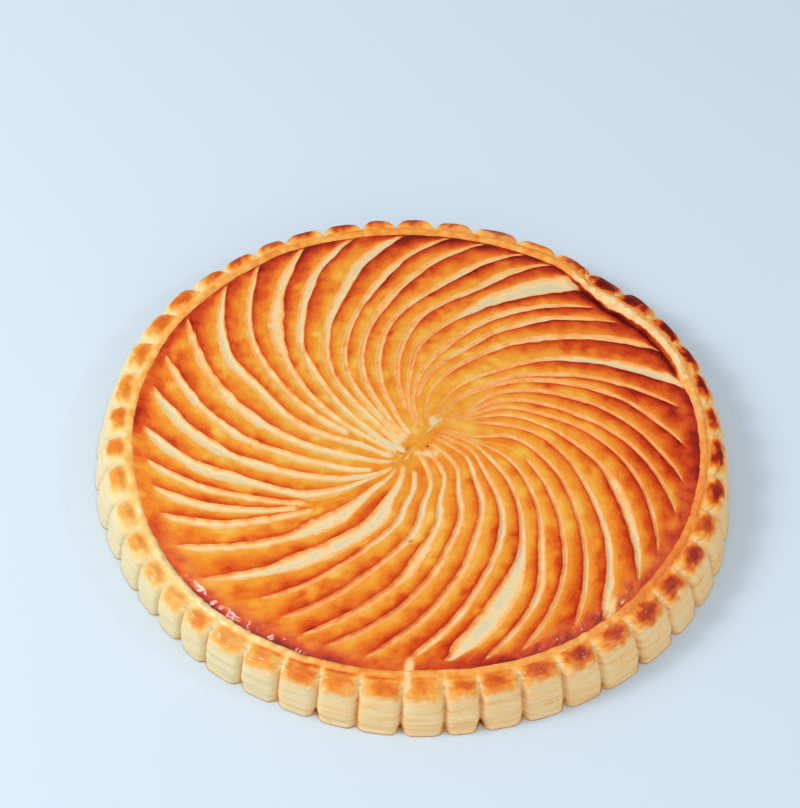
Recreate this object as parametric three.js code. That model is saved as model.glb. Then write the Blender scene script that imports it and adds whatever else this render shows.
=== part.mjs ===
// Galette des rois: one uncut round of puff pastry, sealed round its edge, nicked into a scalloped
// rim and scored on top with a swirl of curved slashes.
// Millimetres, +Z up. The origin is the middle of the flat underside.
import * as THREE from 'three';

// ---- Driving sizes -------------------------------------------------------------------------

const RIM_RADIUS = 130; // top edge of the wall, in the middle of a scallop
const WALL_HEIGHT = 18.2; // height of the wall's top edge
const EDGE_ROUNDING = 2.2; // radius of the soft edge between wall and rim
const FOOT_ROUNDING = 1.2; // radius of the edge under the wall
const LEAN_POWER = 1.15; // how the wall's lean dies away with height

const CREST_RADIUS = 119.8; // the thin raised ring between rim and lid
const CREST_HEIGHT = 20.5;
const GROOVE_RADIUS = 117; // shallow furrow where the lid meets the ring
const GROOVE_HEIGHT = 18.8;
const LID_RADIUS = 110.5; // where the lid's gentle dome starts
const LID_EDGE_HEIGHT = 19.5;
const LID_HEIGHT = 25; // middle of the lid, without its relief

const NICK_DEPTH = 3.3; // how far a nick runs into the wall
const NICK_WIDTH = 2.6; // of a nick, measured along the rim
const CROWN_RISE = 1.0; // the middle of a scallop over its ends
const SLASH_DEPTH = 1.5; // a slash below the mean surface of the lid
const SLASH_SHARE = 0.14; // half-width of a slash, as a share of the step to the next one
const RIDGE_RISE = 0.8; // the middle of a ridge above it
const RELIEF_FROM = 30; // the relief dies away inside this radius
const RELIEF_RUN_OUT = 6; // and over this width before the furrow

// The round isn't quite round: three soft lobes and four softer ones.
const THREE_LOBES = 1.28;
const THREE_LOBES_TURN = 37; // degrees
const FOUR_LOBES = -1.0;

// The slashes meet along a short seam, a little towards the front, not at one point.
const HUB_X = 0.5;
const HUB_Y = -7.3;
const SEAM_HALF_LENGTH = 12.7;
const SEAM_TURN = 56; // degrees
const SEAM_REACH = 71.5; // past this radius the seam no longer bends the swirl

// A slash is swept back as it runs in from the ring: degrees for each e-fold of radius.
const SWEEP_AT_RING = 54;
const SWEEP_AT_HUB = 10;
const SWEEP_FADE_RADIUS = 65; // inside this radius the sweep dies away
const LEAN = 12; // degrees by which the slashes crowd to one side near the hub
const LEAN_TURN = 312;

const COLUMNS = 230; // five for each scallop
const LID_ROWS = [114, 107.5, 97, 85, 72.5, 60, 47, 34, 21, 10]; // radii of the rows across the lid

// Nicks round the rim and slashes at the ring, in degrees, as uneven as a hand cuts them.
const NICKS = [
  5, 13, 21.2, 29, 37.5, 46, 54, 62, 70.5, 80, 88, 96, 103, 111, 119, 126,
  133.5, 141, 149, 157.8, 166, 175, 182.7, 190, 198.7, 206.3, 213.7, 220.5, 227, 233.2, 240.8, 248,
  255.1, 262.2, 269.7, 277.1, 283.3, 290.8, 298.4, 305.9, 314.3, 322.9, 330.3, 338, 346, 355,
];
const SLASHES = [
  0.5, 12, 20.5, 31.5, 39.8, 46, 54.5, 65.5, 73, 82, 90, 100, 111, 120,
  130, 140, 150.3, 160.5, 169.5, 180.5, 189, 196, 203.5, 212.5, 222.5, 231, 239, 246,
  252, 261, 269.3, 278, 286, 293.5, 305, 313, 323.5, 331.5, 342, 350.5,
];

// Uneven hand work round the turn: pairs of a bearing in degrees and a length in mm there.
const FLARES = [
  [0, 3.8], [40, 4.2], [130, 4.2], [163, 6.4], [186, 5.6], [224, 1.4], [242, 2], [274, 5.5],
  [308, 5.8], [333, 6.2],
]; // how far the wall leans out at its foot
const EDGE_PULLS = [
  [0, 0.5], [8, 0.9], [16, 0.6], [25, -0.2], [42, -0.5], [50, 1.3], [57, 0.6], [65, -0.9],
  [75, -2.4], [84, -1.7], [92, -2.2], [99, -1.2], [107, -0.2], [115, 0.2], [122, 1.3], [137, 1.7],
  [145, 0.2], [162, -0.3], [190, -0.8], [205, 0], [345, 0],
]; // how far the rim's edge is drawn towards the middle
const CREST_PULLS = [
  [0, -1.7], [12, -2.1], [28, -3], [36, -2.4], [45, -0.1], [51, 1], [58, -3.2], [66, -4.4],
  [82, -4.9], [100, -4.1], [120, -2.6], [130, -1], [140, -0.4], [160, -0.8], [175, -1.8],
  [200, -0.9], [225, -1.5], [245, -0.7], [275, 0], [295, -1.1], [325, -0.3], [345, -1],
]; // how far the ring is drawn towards the middle

// ---- Helpers -------------------------------------------------------------------------------

const radians = THREE.MathUtils.degToRad;
const clamp01 = (value) => THREE.MathUtils.clamp(value, 0, 1);

/** Soft curve through `marks` round the turn, a smoothstep between two neighbours. */
function around(marks, angle) {
  const turned = THREE.MathUtils.euclideanModulo(THREE.MathUtils.radToDeg(angle), 360);
  const next = marks.findIndex(([at]) => at > turned);
  const [start, from] = marks[(next < 0 ? marks.length : next) - 1];
  const [end, to] = next < 0 ? [marks[0][0] + 360, marks[0][1]] : marks[next];
  return from + (to - from) * THREE.MathUtils.smoothstep(turned, start, end);
}

/** How far the edge stands outside a true circle in direction `angle`. */
function outOfRound(angle) {
  const three = THREE_LOBES * Math.cos(3 * angle - radians(THREE_LOBES_TURN));
  return (three + FOUR_LOBES * Math.cos(4 * angle)) / RIM_RADIUS;
}

/**
 * Angle of one column when the columns are shared out evenly between hand-cut marks, so that
 * every mark has a column of its own. Returns the angle and the place between two marks, 0 to 1.
 */
function columnBetween(marks, column) {
  const share = marks.length / COLUMNS;
  const mark = Math.floor((column + 0.5) * share);
  const first = Math.ceil(mark / share - 0.5);
  const next = Math.ceil((mark + 1) / share - 0.5);
  const start = marks[mark];
  const end = mark + 1 < marks.length ? marks[mark + 1] : marks[0] + 360;
  const place = (column - first) / (next - first);
  return { angle: radians(start + (end - start) * place), span: radians(end - start), place };
}

/** The sweep of a slash from the ring in to `radius`, in degrees. */
function sweep(radius) {
  const outer = Math.log(RIM_RADIUS * 0.88 / Math.max(radius, SWEEP_FADE_RADIUS)) * SWEEP_AT_RING;
  const inner = Math.log(SWEEP_FADE_RADIUS / Math.min(radius, SWEEP_FADE_RADIUS));
  const fade = (SWEEP_AT_RING - SWEEP_AT_HUB) / 2;
  return outer + inner * SWEEP_AT_RING - fade * Math.min(inner, 1.6) ** 2 / 1.6;
}

/** Height of the lid's mean surface at `radius`. */
function lidHeight(radius) {
  const rise = 1 - clamp01(radius / LID_RADIUS) ** 2;
  return LID_EDGE_HEIGHT + (LID_HEIGHT - LID_EDGE_HEIGHT) * rise;
}

// ---- Rows of the surface, from the middle of the underside to the middle of the lid ---------

/** Share of the foot's flare that the wall has at a height. */
const leanAt = (height) => 1 - (height / WALL_HEIGHT) ** LEAN_POWER;

// Each row: its radius and height, how deep the nicks bite there, its share of the foot's flare,
// and whether it goes with the ring (1) or with the rim's edge (0).
const EDGE_ROWS = [
  { radius: RIM_RADIUS - FOOT_ROUNDING, height: 0, bite: 0.5, lean: 1, ring: 0 },
  { radius: RIM_RADIUS, height: FOOT_ROUNDING, bite: 0.6, lean: 1, ring: 0 },
  { radius: RIM_RADIUS, height: 6, bite: 0.8, lean: leanAt(6), ring: 0 },
  { radius: RIM_RADIUS, height: 12, bite: 0.95, lean: leanAt(12), ring: 0 },
  { radius: RIM_RADIUS, height: WALL_HEIGHT - EDGE_ROUNDING, bite: 1, lean: 0.12, ring: 0 },
  { radius: RIM_RADIUS - EDGE_ROUNDING, height: WALL_HEIGHT + 0.4, bite: 1, lean: 0, ring: 0 },
  { radius: 124.8, height: 19.9, bite: 0.5, lean: 0, ring: 0.5 },
  { radius: CREST_RADIUS, height: CREST_HEIGHT, bite: 0.1, lean: 0, ring: 1 },
  { radius: 118, height: 19.8, bite: 0, lean: 0, ring: 1 },
  { radius: GROOVE_RADIUS, height: GROOVE_HEIGHT, bite: 0, lean: 0, ring: 1 },
];

/** A point of the rim or the wall. */
function edgePoint(row, column) {
  const { angle, span, place } = columnBetween(NICKS, column);
  const fromNick = Math.min(place, 1 - place) * span * RIM_RADIUS;
  const nick = Math.exp(-((fromNick / NICK_WIDTH) ** 2)) * row.bite;
  const leaning = row.radius + row.lean * around(FLARES, angle) - NICK_DEPTH * nick;
  const pull = around(EDGE_PULLS, angle) * (1 - row.ring) + around(CREST_PULLS, angle) * row.ring;
  const radius = leaning * (1 + outOfRound(angle)) - pull;
  const onRim = clamp01((row.height - 12) / 6) * (1 - row.ring);
  const height = row.height + (CROWN_RISE * (1 - (2 * place - 1) ** 2) - nick) * onRim;
  return new THREE.Vector3(radius * Math.cos(angle), radius * Math.sin(angle), height);
}

/** A point of the lid: rows run round the hub seam, columns along the slashes. */
function lidPoint(rowRadius, column) {
  const { angle: ringAngle, place } = columnBetween(SLASHES, column);
  const inward = 1 - clamp01(rowRadius / LID_RADIUS);
  const lean = LEAN * Math.cos(ringAngle - radians(LEAN_TURN)) * Math.min(inward * 1.4, 1);
  const angle = ringAngle + radians(sweep(rowRadius) + lean);

  const toHub = clamp01(1 - (rowRadius / GROOVE_RADIUS) ** 2);
  const toSeam = clamp01(1 - rowRadius / SEAM_REACH) ** 1.5;
  const along = SEAM_HALF_LENGTH * Math.cos(angle - radians(SEAM_TURN)) * toSeam;
  const x = rowRadius * Math.cos(angle) + HUB_X * toHub + along * Math.cos(radians(SEAM_TURN));
  const y = rowRadius * Math.sin(angle) + HUB_Y * toHub + along * Math.sin(radians(SEAM_TURN));

  const bearing = Math.atan2(y, x);
  const pull = around(CREST_PULLS, bearing) / RIM_RADIUS;
  const round = 1 + (outOfRound(bearing) - pull) * clamp01((rowRadius - 70) / (LID_RADIUS - 70));
  const fromSlash = Math.min(place, 1 - place) / SLASH_SHARE;
  const relief = RIDGE_RISE * Math.sin(Math.PI * place) - SLASH_DEPTH * Math.exp(-(fromSlash ** 2));
  const strength = clamp01(rowRadius / RELIEF_FROM) * clamp01((LID_ROWS[0] - rowRadius) / RELIEF_RUN_OUT);
  return new THREE.Vector3(x * round, y * round, lidHeight(Math.hypot(x, y)) + relief * strength);
}

// ---- The solid -----------------------------------------------------------------------------

/** A lathed blank of the right rows and columns, whose points are then moved to their places. */
function pastryGeometry() {
  const rowCount = EDGE_ROWS.length + LID_ROWS.length + 2;
  const blank = [new THREE.Vector2(0, 0)];
  for (const row of EDGE_ROWS) blank.push(new THREE.Vector2(row.radius, row.height));
  for (const radius of LID_ROWS) blank.push(new THREE.Vector2(radius, lidHeight(radius)));
  blank.push(new THREE.Vector2(0, LID_HEIGHT));

  const geometry = new THREE.LatheGeometry(blank, COLUMNS).rotateX(Math.PI / 2);
  const position = geometry.getAttribute('position');
  for (let index = 0; index < position.count; index += 1) {
    const column = Math.floor(index / rowCount) % COLUMNS;
    const row = index % rowCount;
    let point;
    if (row === 0) point = new THREE.Vector3(0, 0, 0);
    else if (row <= EDGE_ROWS.length) point = edgePoint(EDGE_ROWS[row - 1], column);
    else if (row < rowCount - 1) point = lidPoint(LID_ROWS[row - 1 - EDGE_ROWS.length], column);
    else point = new THREE.Vector3(HUB_X, HUB_Y, lidHeight(Math.hypot(HUB_X, HUB_Y)));
    position.setXYZ(index, point.x, point.y, point.z);
  }

  // The uneven edge moves the box's middle a little, so the round is set back over its origin.
  geometry.computeBoundingBox();
  const middle = geometry.boundingBox.getCenter(new THREE.Vector3());
  geometry.translate(-middle.x, -middle.y, 0);
  geometry.computeVertexNormals();
  return geometry;
}

const bakedPastry = new THREE.MeshStandardMaterial({ color: 0xd9822b, roughness: 0.45, metalness: 0 });

const galette = new THREE.Mesh(pastryGeometry(), bakedPastry);
galette.name = 'pastry';

const group = new THREE.Group();
group.add(galette);

export default group;
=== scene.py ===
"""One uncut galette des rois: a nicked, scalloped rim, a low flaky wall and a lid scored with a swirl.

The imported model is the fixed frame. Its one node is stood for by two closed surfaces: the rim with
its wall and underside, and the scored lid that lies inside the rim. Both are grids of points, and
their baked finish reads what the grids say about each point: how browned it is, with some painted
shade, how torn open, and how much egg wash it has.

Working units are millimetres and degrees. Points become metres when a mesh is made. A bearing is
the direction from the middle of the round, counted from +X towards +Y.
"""

import logging
import math
from dataclasses import dataclass, field
from enum import Enum, IntEnum
from functools import reduce
from itertools import product

import bpy
import numpy as np
from mathutils import Matrix, Vector


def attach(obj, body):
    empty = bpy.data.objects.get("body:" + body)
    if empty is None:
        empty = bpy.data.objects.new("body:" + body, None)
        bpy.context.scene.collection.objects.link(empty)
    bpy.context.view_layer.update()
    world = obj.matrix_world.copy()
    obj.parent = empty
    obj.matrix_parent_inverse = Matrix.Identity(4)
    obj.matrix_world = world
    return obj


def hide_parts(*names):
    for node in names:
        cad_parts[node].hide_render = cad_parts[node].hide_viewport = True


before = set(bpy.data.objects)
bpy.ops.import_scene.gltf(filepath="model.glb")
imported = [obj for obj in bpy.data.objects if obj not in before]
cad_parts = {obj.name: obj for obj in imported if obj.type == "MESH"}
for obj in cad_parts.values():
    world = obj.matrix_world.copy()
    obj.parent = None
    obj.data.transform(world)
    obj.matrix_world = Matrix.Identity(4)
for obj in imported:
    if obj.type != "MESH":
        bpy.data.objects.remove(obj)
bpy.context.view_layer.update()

METRES = 0.001
BODY = "root"
NODE = "pastry"

Marks = tuple[tuple[float, float], ...]  # pairs of a bearing and the value there
Span = tuple[float, float]  # start and end of a soft step
Spot = tuple[float, float, float]  # x and y in mm, and a size in mm
Array = np.ndarray
Values = Array | float
Place = tuple[Values, Values, Values]
Colour = tuple[float, float, float]
Stops = tuple[tuple[float, Colour], ...]  # places from 0 to 1 and their colours

log = logging.getLogger("galette")


class Slot(Enum):
    """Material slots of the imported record."""

    BAKED_PASTRY = "baked_pastry"


class Channel(Enum):
    """What a grid says about each of its points, as named values from 0 to 1."""

    # toast also carries painted shade: under the lips, in the furrows, down the nicks and in the pits
    TOAST = "toast"  # how far the skin or crumb has browned
    CRUMB = "crumb"  # 0 is whole skin, 1 is torn or cut pastry
    WASH = "wash"  # egg wash that makes the skin shine


# ---- Small maths ----


def eased(low: float, high: float, value: Array) -> Array:
    """Soft step: 0 below low, 1 above high, and 3 t^2 - 2 t^3 between them.

    Args:
        low: where the step starts.
        high: where the step ends. It may be below low, which turns the step round.
        value: the values to step.

    Returns:
        An array of the same shape, from 0 to 1.
    """
    t = np.clip((value - low) / (high - low), 0.0, 1.0)
    return t * t * (3.0 - 2.0 * t)


def crowded(even: Array, share: float) -> Array:
    """Even places from 0 to 1, drawn towards both ends by a share of half a cosine wave."""
    return (1 - share) * even + share * (1 - np.cos(math.pi * even)) / 2


def around(marks: Marks, bearing: Array) -> Array:
    """Soft curve through values marked round the turn, eased between two neighbours.

    Args:
        marks: pairs of a bearing, rising, and a value.
        bearing: where to read the curve.

    Returns:
        The values there.
    """
    at, value = np.array(marks).T
    at, value = np.append(at, at[0] + 360.0), np.append(value, value[0])
    turned = (bearing - at[0]) % 360.0 + at[0]
    gap = np.clip(np.searchsorted(at, turned, side="right") - 1, 0, len(at) - 2)
    t = (turned - at[gap]) / (at[gap + 1] - at[gap])
    return value[gap] + (value[gap + 1] - value[gap]) * t * t * (3 - 2 * t)


def through(knots: Array, values: Array, at: Array) -> Array:
    """Smooth curve through values at rising knots, one cubic a gap, level beyond the ends.

    The slope at a knot is the mean of the chords on its two sides, as in a Catmull-Rom curve.

    Args:
        knots: K places, rising.
        values: array whose last axis has K values.
        at: N places to read.

    Returns:
        Array with values' leading axes and then N.
    """
    chord = np.diff(values, axis=-1) / np.diff(knots)
    inner = (chord[..., 1:] + chord[..., :-1]) / 2
    slope = np.concatenate([chord[..., :1], inner, chord[..., -1:]], -1)
    place = np.clip(at, knots[0], knots[-1])
    gap = np.clip(np.searchsorted(knots, place, side="right") - 1, 0, len(knots) - 2)
    width = np.diff(knots)[gap]
    t = (place - knots[gap]) / width
    start, end = values[..., gap], values[..., gap + 1]
    leave, arrive = slope[..., gap] * width, slope[..., gap + 1] * width
    return (
        start * (2 * t**3 - 3 * t**2 + 1)
        + leave * (t**3 - 2 * t**2 + t)
        + end * (3 * t**2 - 2 * t**3)
        + arrive * (t**3 - t**2)
    )


AXIS_MIXERS = (73856093, 19349663, 83492791)  # a big number for each axis
SEED_MIXER = 2654435761
SEED_START = 97
LAST_MIXER = 1274126177
LOW_BITS = 0xFFFF
LATTICE_SHIFT = 4096.0  # lattice steps that keep places above 0


def lattice_value(place: Place, seed: int) -> Array:
    """A fixed scattered value for each whole-numbered place.

    Each coordinate is multiplied by a big number of its own. The products and the seed's are mixed
    bit by bit, shifted and mixed again, and the low bits are the value.

    Args:
        place: three whole coordinates, not below 0.
        seed: picks another pattern.

    Returns:
        Values from 0 to 1.
    """
    mixed = np.uint64(seed * SEED_MIXER + SEED_START)
    for axis, mixer in zip(place, AXIS_MIXERS):
        mixed = mixed ^ (axis.astype(np.uint64) * np.uint64(mixer))
    mixed ^= mixed >> np.uint64(13)
    mixed *= np.uint64(LAST_MIXER)
    mixed ^= mixed >> np.uint64(16)
    return (mixed & np.uint64(LOW_BITS)).astype(float) / LOW_BITS


def noise(place: Place, seed: int) -> Array:
    """Soft noise: scattered values at whole places, eased between them on each axis.

    Args:
        place: three coordinates, in lattice steps.
        seed: picks another pattern.

    Returns:
        The noise at each point, from -1 to 1.
    """
    axes = np.broadcast_arrays(*(axis + LATTICE_SHIFT for axis in place))
    corner = [np.floor(axis).astype(np.int64) for axis in axes]
    ease = [eased(0.0, 1.0, axis - low) for axis, low in zip(axes, corner)]
    total = np.zeros(axes[0].shape)
    for steps in product((0, 1), repeat=3):
        weight = math.prod(t if step else 1 - t for t, step in zip(ease, steps))
        total += weight * lattice_value(tuple(low + step for low, step in zip(corner, steps)), seed)
    return total * 2 - 1


def layered_noise(place: Place, octaves: int, seed: int) -> Array:
    """Sum of noises, each twice as fine and half as strong as the one before.

    Args:
        place: three coordinates, in steps of the coarsest lattice.
        octaves: how many noises.
        seed: picks another pattern.

    Returns:
        The sum at each point, scaled to lie between -1 and 1.
    """
    total = 0.0
    for octave in range(octaves):
        fine = 2.0**octave
        total = total + noise(tuple(axis * fine for axis in place), seed + octave) / fine
    return total / (2 - 2.0 ** (1 - octaves))


@dataclass(frozen=True)
class Hill:
    """A value that stands out round one bearing, and only over some shares of the rim's radius."""

    size: float
    centre: float  # degrees
    half_width: float  # degrees
    spans: tuple[Span, ...] = ()  # soft steps over those shares

    def at(self, bearing: Array, share: Values = 0.0) -> Array:
        """Works out size * e^-((degrees away / half width)^2), times its soft steps.

        Args:
            bearing: degrees.
            share: radii as shares of the rim's radius, which count if there are spans.

        Returns:
            The value there.
        """
        away = (bearing - self.centre + 180.0) % 360.0 - 180.0
        hill = self.size * np.exp(-((away / self.half_width) ** 2))
        return math.prod((eased(*span, share) for span in self.spans), start=hill)


@dataclass(frozen=True)
class Level:
    """A value that holds all round, with hills on it, and only over some shares of the radius."""

    base: float
    hills: tuple[Hill, ...] = ()
    spans: tuple[Span, ...] = ()

    def at(self, bearing: Array, share: Values = 0.0) -> Array:
        """Its value at a bearing and a share of the rim's radius."""
        level = self.base + sum(hill.at(bearing, share) for hill in self.hills)
        return math.prod((eased(*span, share) for span in self.spans), start=level)


@dataclass(frozen=True)
class Grain:
    """Layered noise of a strength, whose broadest waves are so many mm long."""

    strength: float
    length: float
    octaves: int
    seed: int

    def at(self, *place: Values) -> Array:
        """The noise at a place, given as three coordinates in mm."""
        steps = tuple(axis / self.length for axis in place)
        return self.strength * layered_noise(steps, self.octaves, self.seed)


# ---- The round ----


@dataclass(frozen=True)
class Round:
    """Outline and heights that rim and lid share, in mm."""

    rim_radius: float = 130.0  # top edge of the wall, mid scallop
    wall_height: float = 18.2
    flares: Marks = (
        (0, 3.8), (40, 4.2), (130, 4.2), (163, 6.4), (186, 5.6), (224, 1.4), (242, 2), (274, 5.5),
        (308, 5.8), (333, 6.2),
    )
    crest_radius: float = 119.8  # the thin ring between lid and rim
    crest_height: float = 20.5
    ring_lifts: Marks = (
        (0, 0), (60, 0.2), (125, 0), (155, -0.4), (200, -0.4), (235, 0), (300, -0.1),
    )
    furrow_from: float = 113.0  # where the lid starts to dip
    furrow_radius: float = 116.8  # where it has dipped
    dips: Marks = (
        (0, 0.5), (40, 0.6), (90, 0.5), (130, 0.35), (160, 0.1), (205, 0.15), (219, 0.6), (226, 2),
        (240, 1.8), (253, 1.6), (262, 0.5), (275, 0.2), (290, 0.4), (298, 1.5), (322, 1.5), (334, 0.7),
        (345, 0.4),
    )
    edge_pulls: Marks = (  # how far the rim's edge is drawn in
        (0, 0.5), (8, 0.9), (16, 0.6), (25, -0.2), (33, -0.3), (42, -0.5), (50, 1.3), (57, 0.6),
        (65, -0.9), (75, -2.4), (84, -1.7), (92, -2.2), (99, -1.2), (107, -0.2), (115, 0.2), (122, 1.3),
        (137, 1.7), (145, 0.2), (162, -0.3), (190, -0.8), (205, 0), (345, 0),
    )
    crest_pulls: Marks = (  # the same for the ring's crest
        (0, -1.7), (12, -2.1), (18, -2.4), (25, -3), (32, -3), (36, -2.4), (40, -0.9), (45, -0.1),
        (48, 0.8), (51, 1), (55, -1.1), (58, -3.2), (62, -4.2), (66, -4.4), (73, -4.8), (82, -4.9),
        (90, -4.6), (100, -4.1), (110, -3.1), (120, -2.6), (130, -1), (140, -0.4), (160, -0.8),
        (170, -1.8), (180, -1.8), (190, -1.4), (200, -0.9), (208, -1.2), (225, -1.5), (245, -0.7),
        (265, -0.8), (275, 0), (285, -0.9), (295, -1.1), (305, -1), (325, -0.3), (345, -1),
    )
    gaps: Marks = (  # how far the lid has torn from the ring
        (0, 0), (13, 0), (20, 1.3), (25, 0.8), (32, 1.4), (36, 1.5), (40, 2.1), (45, 3.5), (48, 2),
        (51, 0.6), (55, 0.6), (60, 0), (180, 0),
    )
    glosses: Marks = (
        (0, 0.2), (60, 0.1), (150, 0.1), (200, 0.15), (222, 1), (256, 1), (265, 0.3), (286, 0.3), (296, 1),
        (324, 1), (340, 0.5),
    )
    lid_radius: float = 110.5  # where the lid's dome starts
    lid_edge_height: float = 19.6
    lid_height: float = 24.9
    three_lobes: float = 1.28
    three_lobes_turn: float = 37.0  # degrees
    four_lobes: float = -1.0
    tear_start: Span = (16, 24)  # bearings
    tear_end: Span = (60, 53)
    nicks: tuple[float, ...] = (
        5, 13, 21.2, 29, 37.5, 46, 54, 62, 70.5, 80, 88, 96, 103, 111, 119, 126,
        133.5, 141, 149, 157.8, 166, 175, 182.7, 190, 198.7, 206.3, 213.7, 220.5, 227, 233.2, 240.8, 248,
        255.1, 262.2, 269.7, 277.1, 283.3, 290.8, 298.4, 305.9, 314.3, 322.9, 330.3, 338, 346, 355,
    )

    def roundness(self, bearing: Array) -> Array:
        """Radius over the true circle's: 1 plus three soft lobes and four softer ones.

        Args:
            bearing: degrees.

        Returns:
            Shares near 1.
        """
        three = self.three_lobes * np.cos(np.radians(3 * bearing - self.three_lobes_turn))
        four = self.four_lobes * np.cos(np.radians(4 * bearing))
        return 1 + (three + four) / self.rim_radius

    def ring_pull(self, bearing: Array) -> Array:
        """How far the lid's edge is drawn in, which is as far as the ring's crest and its gap."""
        return around(self.crest_pulls, bearing) + around(self.gaps, bearing)

    def glossy(self, bearing: Array) -> Array:
        """Where the egg wash has pooled and wrinkled beside the ring, 0 to 1."""
        return around(self.glosses, bearing)

    def torn(self, bearing: Array) -> Array:
        """Where the lid has torn from the ring and left a pale inner wall, 0 to 1."""
        return eased(*self.tear_start, bearing) * eased(*self.tear_end, bearing)

    def lid_height_at(self, radius: Array, bearing: Array) -> Array:
        """Height of the lid's mean surface: a parabola's dome, then a dip into the furrow.

        Args:
            radius: distances from the middle, mm.
            bearing: degrees.

        Returns:
            Heights in mm.
        """
        inside = 1 - np.clip(radius / self.lid_radius, 0, 1) ** 2
        dome = self.lid_edge_height + (self.lid_height - self.lid_edge_height) * inside
        return dome - around(self.dips, bearing) * eased(self.furrow_from, self.furrow_radius, radius)

    def middle(self) -> Array:
        """Middle of the foot's own bounding box, which becomes the finished round's origin.

        Returns:
            A point in mm.
        """
        bearing = np.linspace(0, 360, 2881)
        away = (self.rim_radius + around(self.flares, bearing)) * self.roundness(bearing)
        away = away - around(self.edge_pulls, bearing)
        x, y = away * np.cos(np.radians(bearing)), away * np.sin(np.radians(bearing))
        return np.array([(x.min() + x.max()) / 2, (y.min() + y.max()) / 2, 0.0])


# ---- Grids that become meshes ----


@dataclass
class Grid:
    """A closed surface: rows of points from the pole below, out and round, to the pole above."""

    points: Array  # rows, columns, 3, in mm
    below: Array  # the pole under the first row
    above: Array  # the pole over the last row
    across: Array  # rows, columns + 1: texture coordinate round the grid
    along: Array  # rows, columns + 1: texture coordinate from row to row
    channels: dict[Channel, Array] = field(default_factory=dict)  # rows, columns

    def faces(self) -> tuple[Array, Array]:
        """Corner indices and the number of corners of each face.

        A quad goes round (row, column), (row, column + 1), (row + 1, column + 1), (row + 1, column),
        with the last column joined to the first. A fan of triangles closes each pole.

        Returns:
            The corners of all faces, and how many each has.
        """
        rows, columns = self.points.shape[:2]
        index = np.arange(rows * columns).reshape(rows, columns)
        right = np.roll(index, -1, axis=1)
        quads = np.stack([index[:-1], right[:-1], right[1:], index[1:]], -1).reshape(-1, 4)
        low, high = np.full(columns, rows * columns), np.full(columns, rows * columns + 1)
        bottom = np.stack([low, right[0], index[0]], -1)
        top = np.stack([index[-1], right[-1], high], -1)
        corners = np.concatenate([quads.ravel(), bottom.ravel(), top.ravel()])
        sizes = np.concatenate([np.full(len(quads), 4), np.full(2 * columns, 3)])
        return corners, sizes

    def corner_uv(self) -> Array:
        """Lays out the texture.

        Returns:
            Texture coordinates of every corner, in the faces' order.
        """
        uv = np.stack([self.across, self.along], -1)
        left, right = uv[:, :-1], uv[:, 1:]
        quads = np.stack([left[:-1], right[:-1], right[1:], left[1:]], -2)
        fans = [np.stack([left[row], right[row], left[row]], -2) for row in (0, -1)]
        return np.concatenate([part.reshape(-1, 2) for part in (quads, *fans)])

    def make(self, name: str, material: bpy.types.Material) -> None:
        """Makes a mesh object that rides the frame and stands for its node.

        Args:
            name: the piece's name.
            material: its finish.
        """
        corners, sizes = self.faces()
        points = np.concatenate([self.points.reshape(-1, 3), [self.below], [self.above]]) * METRES
        mesh = bpy.data.meshes.new(name)
        mesh.vertices.add(len(points))
        mesh.vertices.foreach_set("co", points.ravel())
        mesh.loops.add(len(corners))
        mesh.loops.foreach_set("vertex_index", corners)
        mesh.polygons.add(len(sizes))
        mesh.polygons.foreach_set("loop_start", np.concatenate([[0], np.cumsum(sizes)[:-1]]))
        mesh.polygons.foreach_set("loop_total", sizes)
        mesh.update(calc_edges=True)
        mesh.polygons.foreach_set("use_smooth", np.ones(len(sizes), bool))
        uv = mesh.uv_layers.new(name="grain")
        uv.data.foreach_set("uv", self.corner_uv().ravel())
        for channel, values in self.channels.items():
            ends = [values[0].mean(), values[-1].mean()]
            attribute = mesh.attributes.new(channel.value, "FLOAT", "POINT")
            attribute.data.foreach_set("value", np.append(values.ravel(), ends).astype(np.float32))
        mesh.materials.append(material)
        mesh.validate()
        piece = bpy.data.objects.new(name, mesh)
        bpy.context.scene.collection.objects.link(piece)
        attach(piece, BODY)
        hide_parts(NODE)
        log.info("%s: %d points, %d faces", name, len(points), len(sizes))


# ---- The swirl ----

TRACK_RADII = np.array([0.16, 0.28, 0.4, 0.55, 0.7, 0.86])  # shares of the rim's radius


@dataclass(frozen=True)
class Slash:
    """One cut: its bearings and half-widths, in degrees of the straightened swirl, at TRACK_RADII."""

    bearings: tuple[float, ...]
    low: tuple[float, ...] = (1.7, 1.5, 1.4, 1.3, 1.25, 1.1)
    high: tuple[float, ...] = (1.7, 1.5, 1.4, 1.3, 1.25, 1.1)
    inner_end: float = 0.014  # share of the rim's radius where it dies away
    outer_end: float = 0.0  # share where it starts, or 0 to start where its neighbours do


def slash(*bearings: float, **details: object) -> Slash:
    """Makes a slash whose values are written from the ring in to the hub, as a hand cuts it.

    Args:
        bearings: six bearings.
        details: other fields of the slash, or both for its half-widths on both sides.

    Returns:
        The slash.
    """
    if "both" in details:
        details["low"] = details["high"] = details.pop("both")
    for side in ("low", "high"):
        if side in details:
            details[side] = tuple(reversed(details[side]))
    return Slash(tuple(reversed(bearings)), **details)


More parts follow.
